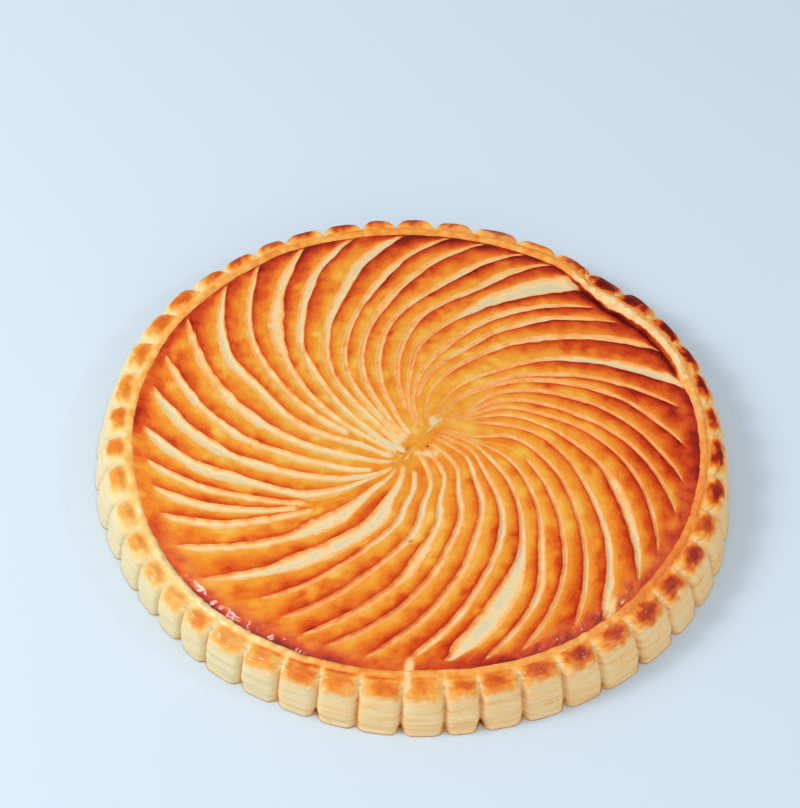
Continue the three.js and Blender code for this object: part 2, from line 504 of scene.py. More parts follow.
SLASHES = (
    slash(0.5, 6, 6.3, 3.5, -0.5, -4),
    slash(12, 12.7, 10.5, 7, 1.5, -1),
    slash(20.5, 21, 18.7, 13.3, 10.8, 9, both=(2.4, 2.2, 1.4, 1.2, 1.4, 1.7)),
    slash(31.5, 31.8, 30.5, 26.8, 26, 28, both=(1.9, 2, 1.6, 1.4, 1.4, 1.6)),
    slash(39.8, 41.2, 38.5, 34.5, 36, 38.5, inner_end=0.13),
    slash(46, 47.5, 45.7, 42.3, 42, 43, both=(0.8, 1.2, 1.3, 1.4, 1.5, 1.7)),
    slash(
        54.5, 55.3, 54.2, 53.7, 49.5, 48,
        low=(2.6, 2.8, 1.4, 1.4, 1.4, 1.7), high=(4.6, 3.4, 1.5, 1.4, 1.4, 1.7),
    ),
    slash(65.5, 63.5, 65, 61.7, 57.5, 53, inner_end=0.1),
    slash(73, 72.3, 74, 72, 69, 65),
    slash(82, 82.5, 81.7, 81, 78, 73.7),
    slash(90, 90.5, 90, 89.7, 85.8, 80),
    slash(100, 100, 99.5, 97.5, 92.7, 87, both=(1.8, 2, 1.9, 1.4, 1.4, 1.7)),
    slash(111, 112, 110.5, 105, 101.3, 97.5, both=(1.6, 1.8, 1.5, 1.4, 1.4, 1.7)),
    slash(120, 121.5, 118.5, 114.5, 110.3, 106, both=(1.4, 2.4, 1.5, 1.4, 1.4, 1.7)),
    slash(130, 131, 126.8, 121.5, 116.5, 109.5, inner_end=0.19),
    slash(140, 141, 135, 131.5, 125.5, 116, both=(1.4, 1.8, 1.7, 1.5, 1.5, 1.7)),
    slash(150.3, 150, 147, 142.5, 137.5, 132.3, both=(1.2, 1.7, 1.8, 1.6, 1.5, 1.7)),
    slash(160.5, 160, 157.5, 152.5, 148.5, 148, inner_end=0.1),
    slash(169.5, 170, 167.5, 163, 160, 157, both=(1.6, 2, 1.8, 1.5, 1.5, 1.7)),
    slash(180.5, 180.5, 176.8, 175.5, 170, 164, both=(1.4, 2, 2, 1.8, 1.5, 1.7)),
    slash(189, 187.5, 184.5, 181, 175, 166, inner_end=0.4),
    slash(196, 194.5, 189.5, 183, 176.5, 168, inner_end=0.44),
    slash(203.5, 200.5, 193.5, 185, 178, 170, inner_end=0.4),
    slash(
        212.5, 209, 203, 194, 185.5, 176,
        low=(1.2, 1.3, 2.2, 5, 5, 3.5), high=(1.2, 1.3, 2.2, 4.5, 3.2, 3),
    ),
    slash(
        222.5, 219.5, 214, 208.5, 204, 198,
        low=(1.1, 2, 3.5, 4, 5.2, 4), high=(1.1, 2, 3.5, 4.4, 5.4, 4),
    ),
    slash(231, 228.5, 222.5, 217.5, 217, 218.5, both=(0.6, 0.8, 0.9, 1.1, 1.4, 1.7), inner_end=0.05),
    slash(239, 236.5, 231.5, 229, 230, 237),
    slash(246, 245, 242.5, 239.5, 242, 251.5, both=(1.1, 1.4, 2.2, 2, 1.6, 1.7)),
    slash(252, 252.8, 251, 250.5, 256, 266),
    slash(261, 261.5, 260.7, 262.5, 270.5, 280, both=(1.1, 1.3, 1.8, 2.1, 1.8, 1.7)),
    slash(269.3, 270, 271, 276, 280, 289, both=(1.1, 1.4, 2, 1.9, 1.6, 1.7)),
    slash(
        278, 280, 283, 286.5, 291, 296,
        low=(2.6, 5.4, 2.5, 1.3, 1.4, 1.7), high=(1.9, 5.5, 2, 1.3, 1.4, 1.7),
    ),
    slash(
        286, 292, 292, 297, 301, 299,
        low=(0.9, 1.8, 1.8, 1.3, 1.4, 1.4), high=(0.9, 1.6, 1.6, 1.3, 1.4, 0.5),
    ),
    slash(293.5, 299.5, 302, 306.5, 309.5, 300.6, inner_end=0.33),
    slash(305, 308, 311, 316.5, 316.3, 303, high=(1.1, 1.25, 1.4, 1.4, 1.5, 1.7)),
    slash(313, 317.5, 321.5, 327.5, 325.5, 320.5, both=(2.2, 1.9, 1.5, 1.3, 1.4, 1.7), inner_end=0.12),
    slash(
        323.5, 330, 334, 335.5, 334.3, 326,
        low=(1.3, 3.3, 2, 1.3, 1.4, 1.5), high=(1.3, 2.1, 1.6, 1.3, 1.4, 1.5),
    ),
    slash(331.5, 340.5, 343.5, 342.5, 341, 331),
    slash(342, 349, 350, 349.5, 346, 335, inner_end=0.12),
    slash(350.5, 357, 358.8, 357, 352, 338),
)


@dataclass(frozen=True)
class Swirl:
    """The whole set of slashes, and how the straightened swirl is wound on to the lid."""

    rim_radius: float
    slashes: tuple[Slash, ...] = SLASHES
    hub: tuple[float, float] = (0.5, -7.3)
    seam_half_length: float = 12.7
    seam_turn: float = 56.0  # degrees
    seam_reach: float = 71.5
    hub_reach: float = 117.0
    front_twist: Hill = Hill(6.0, 300, 42)  # degrees
    twist_radius: float = 28.0
    twist_half_width: float = 8.5
    sweep_radii: tuple[float, ...] = (6.5, 19.5, 39, 65, 78, 114.4)
    sweep_rates: tuple[float, ...] = (5, 12, 28, 44, 52, 54)  # degrees for each e-fold of radius
    sweep_from: float = 114.4
    bend_from: float = 0.79  # shares of the rim's radius
    bend_length: float = 0.11
    widest: float = 0.42  # of the way to the next slash
    near_far: Span = (0.22, 0.55)  # shares from near widths to far ones
    coarse_fine: Span = (3.2, 1.9)  # half-widths kept, and scaled in full
    point_length: float = 0.08  # share over which a slash narrows to its point
    point_width: float = 0.36  # of its width
    slow_waver: float = 0.28
    quick_waver: float = 0.22
    inner_ease: float = 0.045  # shares over which a slash opens
    outer_ease: float = 0.028
    bends: Marks = (
        (0, 0), (20, 1.2), (31, 1.8), (46, 0.3), (54, 0.8), (65, 2.8), (73, 3.6), (90, 4), (111, 4.2),
        (120, 2), (130, 1.4), (140, 2.8), (150, 0.5), (250, 0), (300, 0.5),
    )
    far_widths: Marks = (
        (0, 0.66), (40, 0.68), (62, 0.92), (80, 0.95), (110, 0.95), (130, 0.84), (150, 0.82), (172, 1),
        (200, 1), (218, 0.78), (245, 0.55), (262, 0.62), (285, 0.84), (305, 0.74), (335, 0.72),
    )
    near_widths: Marks = (
        (0, 0.8), (60, 0.72), (110, 0.85), (160, 1.3), (225, 1.5), (270, 1.6), (320, 1.15),
    )
    outer_ends: Marks = (
        (0, 0.865), (12, 0.865), (22, 0.905), (32, 0.905), (40, 0.872), (47, 0.872), (56, 0.905),
        (75, 0.912), (125, 0.912), (150, 0.905), (160, 0.89), (170, 0.88), (180, 0.882), (190, 0.872),
        (203, 0.865), (222, 0.872), (232, 0.8), (240, 0.82), (246, 0.85), (253, 0.86), (262, 0.87),
        (270, 0.872), (278, 0.882), (287, 0.89), (295, 0.885), (306, 0.872), (314, 0.905), (324, 0.885),
        (332, 0.872), (342, 0.87), (351, 0.868),
    )

    def sweep(self, radius: Array) -> Array:
        """Degrees that a slash has swept round by a radius.

        It is the sum of the sweep rate over the logarithm of the radius, from sweep_from inwards.

        Args:
            radius: distances from the hub in mm.

        Returns:
            Degrees, below 0 outside sweep_from.
        """
        steps = np.linspace(math.log(0.5), math.log(140.0), 1200)
        rate = np.interp(steps, np.log(self.sweep_radii), self.sweep_rates)
        total = np.concatenate([[0], np.cumsum((rate[1:] + rate[:-1]) / 2 * np.diff(steps))])
        start = np.interp(math.log(self.sweep_from), steps, total)
        return start - np.interp(np.log(np.maximum(radius, 0.5)), steps, total)

    def place(self, bearing: Array, radius: Array) -> tuple[Array, Array]:
        """Point of the plan for a bearing and radius of the swept swirl.

        Circles slide towards the hub by 1 - (radius / hub_reach)^2, and are drawn out along the seam
        by seam_half_length * cos(bearing - seam_turn) * (1 - radius / seam_reach)^1.5. In front of
        the hub they turn back by front_twist * e^-((radius - twist_radius) / twist_half_width)^2.

        Args:
            bearing: degrees.
            radius: mm.

        Returns:
            x and y in mm.
        """
        nearness = np.exp(-(((radius - self.twist_radius) / self.twist_half_width) ** 2))
        twist = self.front_twist.at(bearing) * nearness
        angle = np.radians(bearing - twist)
        turn = math.radians(self.seam_turn)
        to_hub = np.clip(1 - (radius / self.hub_reach) ** 2, 0, 1)
        to_seam = np.clip(1 - radius / self.seam_reach, 0, 1) ** 1.5
        drawn = self.seam_half_length * np.cos(angle - turn) * to_seam
        x = radius * np.cos(angle) + self.hub[0] * to_hub + drawn * math.cos(turn)
        y = radius * np.sin(angle) + self.hub[1] * to_hub + drawn * math.sin(turn)
        return x, y

    def tracks(self, share: Array) -> Array:
        """Bearing of each slash at each share of the rim's radius: rows are shares.

        Near the ring a slash bends on by bends * (way from bend_from over bend_length)^1.5.

        Args:
            share: shares of the rim's radius.

        Returns:
            An array with a row for each share and a column for each slash.
        """
        knots = np.array([one.bearings for one in self.slashes], float)
        way = np.clip((share - self.bend_from) / self.bend_length, 0, 1.15) ** 1.5
        return through(TRACK_RADII, knots, share).T - way[:, None] * around(self.bends, knots[:, -1])

    def openings(self, share: Array) -> tuple[Array, Array]:
        """Half-widths below and above each track, in degrees.

        The finer cuts take far_widths times their table far from the hub and near_widths close to
        it. They run out to a point at the ring, their edges waver, and no opening is over widest of
        the way to the next slash.

        Args:
            share: shares of the rim's radius.

        Returns:
            Two arrays, a row for each share and a column for each slash.
        """
        track = self.tracks(share)
        step = np.diff(np.concatenate([track, track[:, :1] + 360], axis=1), axis=1)
        far = eased(*self.near_far, share)[:, None]
        count = np.arange(len(self.slashes))[None, :] * 7.3
        place = (track + self.sweep(share * self.rim_radius)[:, None]) % 360
        out_there, in_there = around(self.far_widths, place), around(self.near_widths, place)
        to_end = self.outer_limits()[None, :] - share[:, None]
        pointed = self.point_width + (1 - self.point_width) * eased(0.0, self.point_length, to_end)
        sides = []
        for side, gap in (("low", np.roll(step, 1, axis=1)), ("high", step)):
            table = np.array([getattr(one, side) for one in self.slashes], float)
            width = through(TRACK_RADII, table, share).T
            fine = eased(*self.coarse_fine, width)
            scaled = width * (1 + fine * (in_there + (out_there - in_there) * far - 1))
            slow = noise((share[:, None] * 17, count, 0.0), seed=len(side))
            quick = noise((share[:, None] * 45, count, 0.0), seed=3)
            waver = far * (0.4 + 0.6 * fine) * (self.slow_waver * slow + self.quick_waver * quick)
            sides.append(np.minimum(scaled * (1 + waver) * pointed, self.widest * gap))
        return sides[0], sides[1]

    def outer_limits(self) -> Array:
        """Finds where each slash starts, as it says or as its neighbours do.

        Returns:
            Shares of the rim's radius.
        """
        own = np.array([one.outer_end for one in self.slashes])
        common = around(self.outer_ends, np.array([one.bearings[-1] for one in self.slashes]))
        return np.where(own > 0, own, common)

    def strengths(self, share: Array) -> Array:
        """How open each slash is: it eases in at its outer end and out at its inner end.

        Args:
            share: shares of the rim's radius.

        Returns:
            Values from 0 to 1, a row for each share and a column for each slash.
        """
        inner = np.array([one.inner_end for one in self.slashes])
        opens = eased(0, self.inner_ease, share[:, None] - inner)
        return opens * eased(0, self.outer_ease, self.outer_limits() - share[:, None])


# ---- The lid ----


class Zone(IntEnum):
    """The three strips of columns from one slash to the next."""

    FLOOR = 0  # from the middle of the slash before up to the ridge
    SKIN = 1  # the ridge's own skin
    FACE = 2  # down from the lip into the slash after


@dataclass(frozen=True)
class Ridges:
    """Where every point of the lid stands on its ridge, by row, ridge and column."""

    share: Array  # radius over the rim's
    bearing: Array  # of the straightened swirl, degrees
    zone: Array
    across: Array  # place across the zone, 0 to 1
    from_start: Array  # mm across the skin from the slash before
    from_end: Array  # mm across the skin to the lip
    before: Array  # how open the slash before is, 0 to 1
    after: Array  # how open the slash after is
    width_before: Array  # of that slash, mm
    width_after: Array

    def by_zone(self, floor: Values, skin: Values, face: Values) -> Array:
        """The value of the zone that each point is in."""
        return np.select([self.zone == Zone.FLOOR, self.zone == Zone.SKIN], [floor, skin], face)


@dataclass(frozen=True)
class LidPoints:
    """The same points on the lid, seen from above."""

    ridge: Ridges
    x: Array  # mm
    y: Array
    radius: Array  # mm, before the outline's lobes are laid on
    bearing: Array  # degrees

    def grain(self, grain: Grain) -> Array:
        """A grain laid over the plan."""
        return grain.at(self.x, self.y, 0 * self.x)

    def spotted(self, spots: tuple[Spot, ...]) -> Array:
        """Round spots, each e^-((distance / size)^2), added up to 1 at most.

        Args:
            spots: their places and sizes.

        Returns:
            How deep in a spot each point is, 0 to 1.
        """
        total = np.zeros_like(self.x)
        for spot_x, spot_y, size in spots:
            total = total + np.exp(-((self.x - spot_x) ** 2 + (self.y - spot_y) ** 2) / size**2)
        return np.clip(total, 0, 1)


@dataclass(frozen=True)
class Relief:
    """How the ridges stand over the lid's mean surface and the slashes under it, in mm."""

    floor_depth: float = 0.75  # a slash's floor below the mean surface
    lip_rise: float = 0.62  # the lip over a slash above it
    lip_width: float = 2.8  # of the strip that rises to the lip
    start_drop: float = 0.22  # a ridge's low side below it
    start_width: float = 1.8
    pillow: float = 0.32  # a ridge's middle above it
    pillow_start: float = 2.0
    pillow_end: float = 0.5
    lip_tuck: float = 0.28  # how far the lip's very edge rolls down
    tuck_width: float = 0.35
    floor_curve: float = 1.5  # power by which a floor climbs to the ridge
    face_share: float = 0.5  # of a face's strip that the drop takes
    opening: Span = (0.4, 2.4)  # widths of a slash of no depth and of full depth
    hub_fade: Span = (0.05, 0.34)  # shares of the rim's radius
    ring_fade: Span = (0.915, 0.895)

    def height(self, ridges: Ridges) -> Array:
        """Height over the mean surface.

        Across the skin it rises from start_drop below to lip_rise above, over a soft pillow, and the
        edge rolls down by lip_tuck. In the slash it drops to floor_depth below. A closed slash stays
        level with the pillow.

        Args:
            ridges: the points.

        Returns:
            The relief, which dies away at the hub and at the ring.
        """
        before = ridges.before * eased(*self.opening, ridges.width_before)
        after = ridges.after * eased(*self.opening, ridges.width_after)
        rise = self.lip_rise * after * np.exp(-ridges.from_end / self.lip_width)
        rise = rise - self.start_drop * before * np.exp(-ridges.from_start / self.start_width)
        rounded_start = 1 - before * np.exp(-ridges.from_start / self.pillow_start)
        rounded_end = 1 - after * np.exp(-ridges.from_end / self.pillow_end)
        tuck = self.lip_tuck * after * np.exp(-ridges.from_end / self.tuck_width)
        skin = rise + self.pillow * rounded_start * rounded_end - tuck

        below = self.start_drop - self.floor_depth
        floor = below * (1 - ridges.across**self.floor_curve) - self.start_drop
        lip = self.lip_rise - self.lip_tuck
        face = lip - (self.floor_depth + lip) * eased(0.0, self.face_share, ridges.across)
        floor = self.pillow + (floor - self.pillow) * before
        face = self.pillow + (face - self.pillow) * after
        depth = eased(*self.hub_fade, ridges.share) * eased(*self.ring_fade, ridges.share)
        return ridges.by_zone(floor, skin, face) * depth


@dataclass(frozen=True)
class SkinBrowning:
    """How far the lid's egg-washed skin has browned. Spans are shares of the rim's radius."""

    base: Level = Level(
        0.28,
        (
            Hill(0.08, 15, 62, ((0.3, 0.75),)),
            Hill(0.07, 250, 40, ((0.2, 0.5),)),
            Hill(0.2, 288, 48, ((0.04, 0.12), (0.5, 0.12))),
        ),
    )
    outwards: Level = Level(0.12, (), ((0.04, 0.7),))  # browner away from the hub
    blisters: Marks = (
        (0, 0.24), (32, 0.28), (75, 0.19), (110, 0.18), (135, 0.15), (152, 0.1), (185, 0.04), (208, 0.01),
        (236, 0.02), (262, 0.04), (280, 0.14), (296, 0.07), (318, 0.12), (345, 0.17),
    )
    blister_span: Span = (0.5, 0.86)
    # darker in the furrow beside the ring: partly browning, partly painted shade in the groove
    furrow: Marks = (
        (0, 0.3), (20, 0.36), (32, 0.62), (50, 0.95), (59, 0.7), (66, 0.4), (78, 0.55), (92, 0.62),
        (101, 0.3), (115, 0.55), (128, 0.42), (140, 0.2), (146, 0.42), (155, 0.34), (165, 0.12),
        (176, 0.44), (186, 0.1), (200, 0.04), (212, 0.2), (221, 0.3), (228, 0.74), (243, 0.62), (258, 0.5),
        (266, 0.12), (276, 0.16), (290, 0.42), (302, 0.5), (312, 0.2), (330, 0.14), (345, 0.16),
    )
    furrow_span: Span = (0.85, 0.905)
    furrow_grain: Grain = Grain(0.5, 7, 2, seed=67)
    lip: Level = Level(0.24, (Hill(0.32, 58, 72, ((0.4, 0.8),)),), ((0.05, 0.5),))
    lip_width: float = 1.7  # mm
    glow: Level = Level(0.28, (), ((0.05, 0.3),))  # paler beside the slash before it
    glow_width: float = 3.0  # mm
    tilt: Level = Level(0.22, (), ((0.1, 0.4),))  # browner towards the slash after
    tilt_middle: float = 0.45
    blotches: tuple[Grain, ...] = (Grain(0.18, 9, 3, seed=11), Grain(0.1, 5, 2, seed=97))
    spots: Level = Level(0.2, (Hill(-0.1, 190, 60),), ((0.12, 0.5),))
    spot_grain: Grain = Grain(1.0, 4.2, 2, seed=13)
    spot_step: Span = (0.25, 0.75)
    golden: Level = Level(0.24, (Hill(-0.12, 20, 60),))  # how much paler the golden patches are
    golden_grain: Grain = Grain(1.0, 7.5, 2, seed=19)
    golden_step: Span = (0.22, 0.75)
    between: Hill = Hill(0.3, 195, 7, ((0.12, 0.2), (0.4, 0.32)))  # where slashes stop short
    knee: float = 0.64  # what is over it counts for less
    past_knee: float = 0.65

    def toast(self, at: LidPoints) -> Array:
        """How browned a ridge's skin is.

        It browns outwards from the hub, in blisters near the ring, towards the lip and in spots, and it is
        darker in the furrow beside the ring, partly browning and partly painted shade. It stays paler
        beside the slash before it and in golden patches.

        Args:
            at: the points.

        Returns:
            Toast, which may go past 0.
        """
        ridge, share, bearing = at.ridge, at.ridge.share, at.bearing
        # the furrow's darkening is partly painted shade
        furrow = around(self.furrow, bearing) * eased(*self.furrow_span, share)
        lip = self.lip.at(bearing, share) * ridge.after
        glow = self.glow.at(bearing, share) * ridge.before
        tilt = self.tilt.at(bearing, share) * (ridge.before + ridge.after) / 2
        golden = eased(*self.golden_step, at.grain(self.golden_grain))
        toast = sum((
            self.base.at(bearing, share),
            self.between.at(ridge.bearing, share),
            self.outwards.at(bearing, share),
            around(self.blisters, bearing) * eased(*self.blister_span, share),
            furrow * (1 + at.grain(self.furrow_grain)),
            lip * np.exp(-ridge.from_end / self.lip_width),
            -glow * np.exp(-ridge.from_start / self.glow_width),
            tilt * (ridge.by_zone(0.0, ridge.across, 1.0) - self.tilt_middle),
            sum(at.grain(blotch) for blotch in self.blotches),
            self.spots.at(bearing, share) * eased(*self.spot_step, at.grain(self.spot_grain)),
            -self.golden.at(bearing) * golden,
        ))
        return np.minimum(toast, self.knee) + self.past_knee * np.maximum(toast - self.knee, 0)


@dataclass(frozen=True)
class CutBrowning:
    """How far the cut pastry in the slashes has browned, with painted shade under the lips. Widths are in
    mm.
    """

    near_span: Span = (0.22, 0.55)  # shares from inner toasts to outer ones
    inner_toasts: Marks = (
        (0, 0.6), (90, 0.62), (125, 0.57), (150, 0.42), (180, 0.36), (215, 0.33), (240, 0.42), (262, 0.44),
        (285, 0.47), (315, 0.54),
    )
    outer_toasts: Marks = (
        (0, 0.64), (30, 0.6), (58, 0.46), (80, 0.48), (110, 0.49), (150, 0.49), (180, 0.38), (205, 0.4),
        (235, 0.56), (262, 0.61), (280, 0.63), (292, 0.56), (310, 0.5), (335, 0.58),
    )
    paleness: Marks = (
        (0.5, 0.2), (12, 0.3), (20.5, 1), (31.5, 0.3), (39.8, 0.5), (46, 0.25), (54.5, 1), (65.5, 0.25),
        (73, 0.55), (82, 0.3), (90, 0.6), (100, 1), (111, 1), (120, 0.4), (130, 0.8), (140, 0.8),
        (150, 0.35), (160, 0.8), (180, 0.85), (196, 0.6), (212, 0.8), (222, 0.8), (231, 0.3), (246, 0.3),
        (261, 0.4), (269, 0.55), (278, 1), (286, 0.7), (293, 0.45), (305, 0.6), (313, 0.85), (323, 0.85),
        (331, 0.35), (342, 0.45), (350, 0.3),
    )
    pale_widths: Span = (1.6, 3.8)
    far_from: Span = (0.3, 0.55)  # shares where the paleness marks take over
    near_pale: Level = Level(0.25, (Hill(0.65, 272, 75),))
    near_widths: Span = (0.7, 2.0)
    wide: Span = (3.5, 5.0)  # widths of a slash that is pale throughout
    wide_where: Span = (0.2, 0.6)  # and its paleness
    rind: Span = (0.05, 0.75)  # across the zone, from its browned edge
    pale_share: float = 0.82  # of the toast, taken by paleness
    specks: tuple[Grain, ...] = (Grain(0.2, 3.4, 2, seed=17), Grain(0.18, 1.3, 2, seed=61))
    closed: float = 0.1  # how much browner a closed slash is
    most: float = 0.6
    # painted shade: the cut face just under each lip is darkened as if in the lip's shadow, partly also
    # browning
    shade_under_lip: Level = Level(0.14, (Hill(0.28, 50, 80, ((0.4, 0.8),)),), ((0.1, 0.4),))
    lip_shade: float = 0.28  # of the way across the face

    def toast(self, at: LidPoints) -> Array:
        """How browned the cut pastry is: peach at its edges, pale in the middle of a wide slash, and
        darker on the face just under each lip as painted shade.

        Args:
            at: the points.

        Returns:
            Toast, of use in the slashes only.
        """
        ridge, share, bearing = at.ridge, at.ridge.share, at.bearing
        inner = around(self.inner_toasts, bearing)
        outer = around(self.outer_toasts, bearing)
        edge = inner + (outer - inner) * eased(*self.near_span, share)
        on_face = ridge.zone == Zone.FACE
        width = np.where(on_face, ridge.width_after, ridge.width_before)
        far = eased(*self.far_from, share)
        marked = around(self.paleness, ridge.bearing % 360)
        near_pale = eased(*self.near_widths, width) * self.near_pale.at(bearing)
        pale = near_pale + (eased(*self.pale_widths, width) * marked - near_pale) * far
        wide = eased(*self.wide, width) * eased(*self.wide_where, marked)
        from_edge = ridge.by_zone(1 - ridge.across, 0.0, ridge.across)
        pale = np.maximum(pale, wide) * eased(*self.rind, from_edge)
        closed = 1 - np.where(on_face, ridge.after, ridge.before)
        toast = edge * (1 - self.pale_share * pale) + self.closed * closed
        toast = np.clip(toast + sum(at.grain(speck) for speck in self.specks), 0, self.most)
        # painted shade under the lip, on the face only
        shade_under_lip = self.shade_under_lip.at(bearing, share) * np.exp(-ridge.across / self.lip_shade)
        return toast + shade_under_lip * on_face


@dataclass(frozen=True)
class Lid:
    """The scored lid: forty ridges that lean up to a browned lip over the next slash."""

    round: Round
    swirl: Swirl
    relief: Relief = Relief()
    skin: SkinBrowning = SkinBrowning()
    cut: CutBrowning = CutBrowning()
    rows: int = 96
    outer_rows: int = 14
    shares: tuple[float, ...] = (0.918, 0.86, 0.012)  # under the ring, inside the furrow, at the hub
    columns: tuple[int, int, int] = (4, 16, 4)  # of a ridge's floor, skin and face
    outline_span: Span = (0.72, 0.9)  # from true circles to the round's outline
    gloss_span: Span = (0.82, 0.87)
    swell: Grain = Grain(0.4, 15, 3, seed=5)
    swell_span: Span = (0.915, 0.85)
    wrinkle: Grain = Grain(1.0, 2.7, 2, seed=7)
    dry_wrinkle: float = 0.1  # mm
    glossy_wrinkle: Level = Level(0.5, (Hill(0.25, 308, 16),))
    gape: float = 1.3  # how far the torn edge has sunk
    gape_span: Span = (0.87, 0.9)
    hem: float = 2.5  # how far the outer rows run down under the ring
    hem_span: Span = (0.91, 0.918)
    pit_depth: float = 1.1
    pits: tuple[Spot, ...] = (
        (5.3, -8.1, 1.1), (-3.3, -10.3, 1.1), (0, -56.5, 1.2), (-5.4, -12.4, 0.8),
    )
    # painted shade: the pits are coloured near black, as the shade inside a hole
    hole: Span = (0.35, 0.8)  # how deep in a pit it becomes a dark hole
    hole_shade: float = 0.95
    bead_height: float = 1.35  # of glaze in the furrow
    beads: tuple[Spot, ...] = (
        (56.3, -101.6, 1.5), (61.9, -97.2, 1.4), (72.7, -89.8, 1.3), (75.7, -85.5, 1.3),
        (82.7, -81.3, 1.7), (84.5, -77.4, 1.7), (86.1, -73.5, 1.4), (-59.4, -100.8, 1.6),
        (-40.2, -110.4, 1.6),
    )
    torn_edge: float = 0.9  # crumb on the skin beside the slash before
    torn_width: float = 0.85  # mm
    open_crumb: Level = Level(1.0, (Hill(-0.55, 35, 95, ((0.34, 0.14),)),))
    # pale torn pastry by the hub and along the seam; the first and largest spot, behind the hub, is a
    # painted highlight on a bump
    pale_spots: tuple[Spot, ...] = (
        (7.2, 5.2, 3.6), (-18.5, -3.7, 1.9), (-15.5, -5.5, 1.9), (-12.5, -7.2, 2), (-9.9, -8.7, 2.1),
        (-7.3, -9.9, 2), (-5, -10.9, 1.8), (-2, -11.6, 1.6), (1.5, -12, 2.1), (5, -12.2, 2.1),
        (8.6, -11.9, 1.8), (-4.2, -15, 2), (-12, -13.5, 2.6),
    )
    pale_grain: Grain = Grain(0.5, 1.8, 3, seed=59)
    pale_most: float = 0.75
    pale_toast: float = 0.1
    pale_specks: Grain = Grain(0.16, 1.5, 2, seed=89)
    mouths: tuple[Spot, ...] = (
        (18.6, 1.5, 60), (54.4, 2.2, 60), (270.7, 0.9, 5), (312.6, 1.4, 60),
    )  # slashes that run out under the ring: bearing, half-width and sweep, in degrees
    mouth_start: float = 0.905
    mouth_strength: float = 1.15
    mouth_grain: Grain = Grain(0.5, 2.2, 2, seed=79)
    mouth_span: Span = (0.835, 0.88)
    mouth_toast: float = 0.28
    dry_wash: float = 0.03
    damp: Hill = Hill(0.7, 178, 12, ((0.66, 0.76),))  # where the slashes shine too
    hidden_height: float = 11.0  # of the unseen underside, in the rim's solid

    def row_shares(self) -> Array:
        """Spaces the rows out, more closely between the ring and the furrow.

        Returns:
            Shares of the rim's radius, from under the ring in to the hub.
        """
        ring, furrow, hub = self.shares
        outer = np.linspace(ring, furrow, self.outer_rows, endpoint=False)
        return np.concatenate([outer, np.linspace(furrow, hub, self.rows - self.outer_rows)])

    def ridges(self) -> Ridges:
        """Spreads the columns.

        A ridge has columns over the high half of the slash before it, over its own skin, and over
        the low half of the slash after it. They crowd towards the slashes' edges. A column's bearing
        is the track or the edge plus its share of the zone.

        Returns:
            Where each point stands on its ridge.
        """
        share = self.row_shares()
        track = self.swirl.tracks(share)
        low, high = self.swirl.openings(share)
        before = self.swirl.strengths(share)[..., None]
        track_after = np.concatenate([track[:, 1:], track[:, :1] + 360], axis=1)
        low_after = np.roll(low, -1, axis=1)

        floor, skin, face = (np.arange(count) / count for count in self.columns)
        floor, skin, face = floor**0.85, crowded(skin, 0.55), face**1.25
        across = np.concatenate([floor, skin, face])
        zone = np.repeat(list(Zone), self.columns)

        start = (track + high)[..., None]
        end = (track_after - low_after)[..., None]
        parts = [
            track[..., None] + high[..., None] * floor,
            start + (end - start) * skin,
            end + low_after[..., None] * face,
        ]
        arc = (math.radians(1) * share * self.round.rim_radius)[:, None, None]
        width = (low + high)[..., None] * arc * before
        return Ridges(
            share=share[:, None, None],
            bearing=np.concatenate(parts, axis=-1),
            zone=zone[None, None, :],
            across=across[None, None, :],
            from_start=across * (end - start) * arc,
            from_end=(1 - across) * (end - start) * arc,
            before=before,
            after=np.roll(before, -1, axis=1),
            width_before=width,
            width_after=np.roll(width, -1, axis=1),
        )

    def points(self) -> LidPoints:
        """Winds the ridges on to the lid and draws the outermost ones to the round's own outline.

        Returns:
            The lid's points.
        """
        ridge = self.ridges()
        radius = ridge.share * self.round.rim_radius
        x, y = self.swirl.place(ridge.bearing + self.swirl.sweep(radius), radius)
        bearing = np.degrees(np.arctan2(y, x)) % 360
        pulled = self.round.ring_pull(bearing) / self.round.rim_radius
        outline = self.round.roundness(bearing) - pulled - 1
        drawn = 1 + outline * eased(*self.outline_span, ridge.share)
        return LidPoints(ridge, x=x * drawn, y=y * drawn, radius=np.hypot(x, y), bearing=bearing)

    def height(self, at: LidPoints) -> Array:
        """Height of the lid.

        It is the dome, plus the relief, a broad swell, fine wrinkles and beads of glaze, less the
        gape where the lid has torn from the ring, less the pits.

        Args:
            at: the points.

        Returns:
            Heights in mm.
        """
        share, bearing = at.ridge.share, at.bearing
        swell = at.grain(self.swell) * eased(*self.swell_span, share)
        wrinkle = self.dry_wrinkle + self.glossy_wrinkle.at(bearing) * self.gloss(at)
        wrinkle = wrinkle * at.grain(self.wrinkle) * (at.ridge.zone == Zone.SKIN)
        gape = self.gape * self.round.torn(bearing) * eased(*self.gape_span, share)
        hem = self.hem * eased(*self.hem_span, share)
        dome = self.round.lid_height_at(at.radius, bearing)
        above = self.relief.height(at.ridge) + swell + wrinkle + self.bead_height * at.spotted(self.beads)
        return dome + above - gape - hem - self.pit_depth * at.spotted(self.pits)

    def gloss(self, at: LidPoints) -> Array:
        """Where the egg wash has pooled in the furrow, 0 to 1."""
        return self.round.glossy(at.bearing) * eased(*self.gloss_span, at.ridge.share)

    def mouth(self, at: LidPoints) -> Array:
        """The slashes that run on across the furrow, each a hill round a bearing that sweeps inwards.

        Args:
            at: the points.

        Returns:
            How deep in one each point is, 0 to 1.
        """
        inwards = np.log(self.mouth_start / at.ridge.share)
        mouth = 0 * at.x
        for bearing, half_width, sweep in self.mouths:
            mouth = mouth + Hill(1.0, bearing, half_width).at(at.bearing - sweep * inwards)
        mouth = self.mouth_strength * mouth * (1 + at.grain(self.mouth_grain))
        return np.clip(mouth, 0, 1) * eased(*self.mouth_span, at.ridge.share)

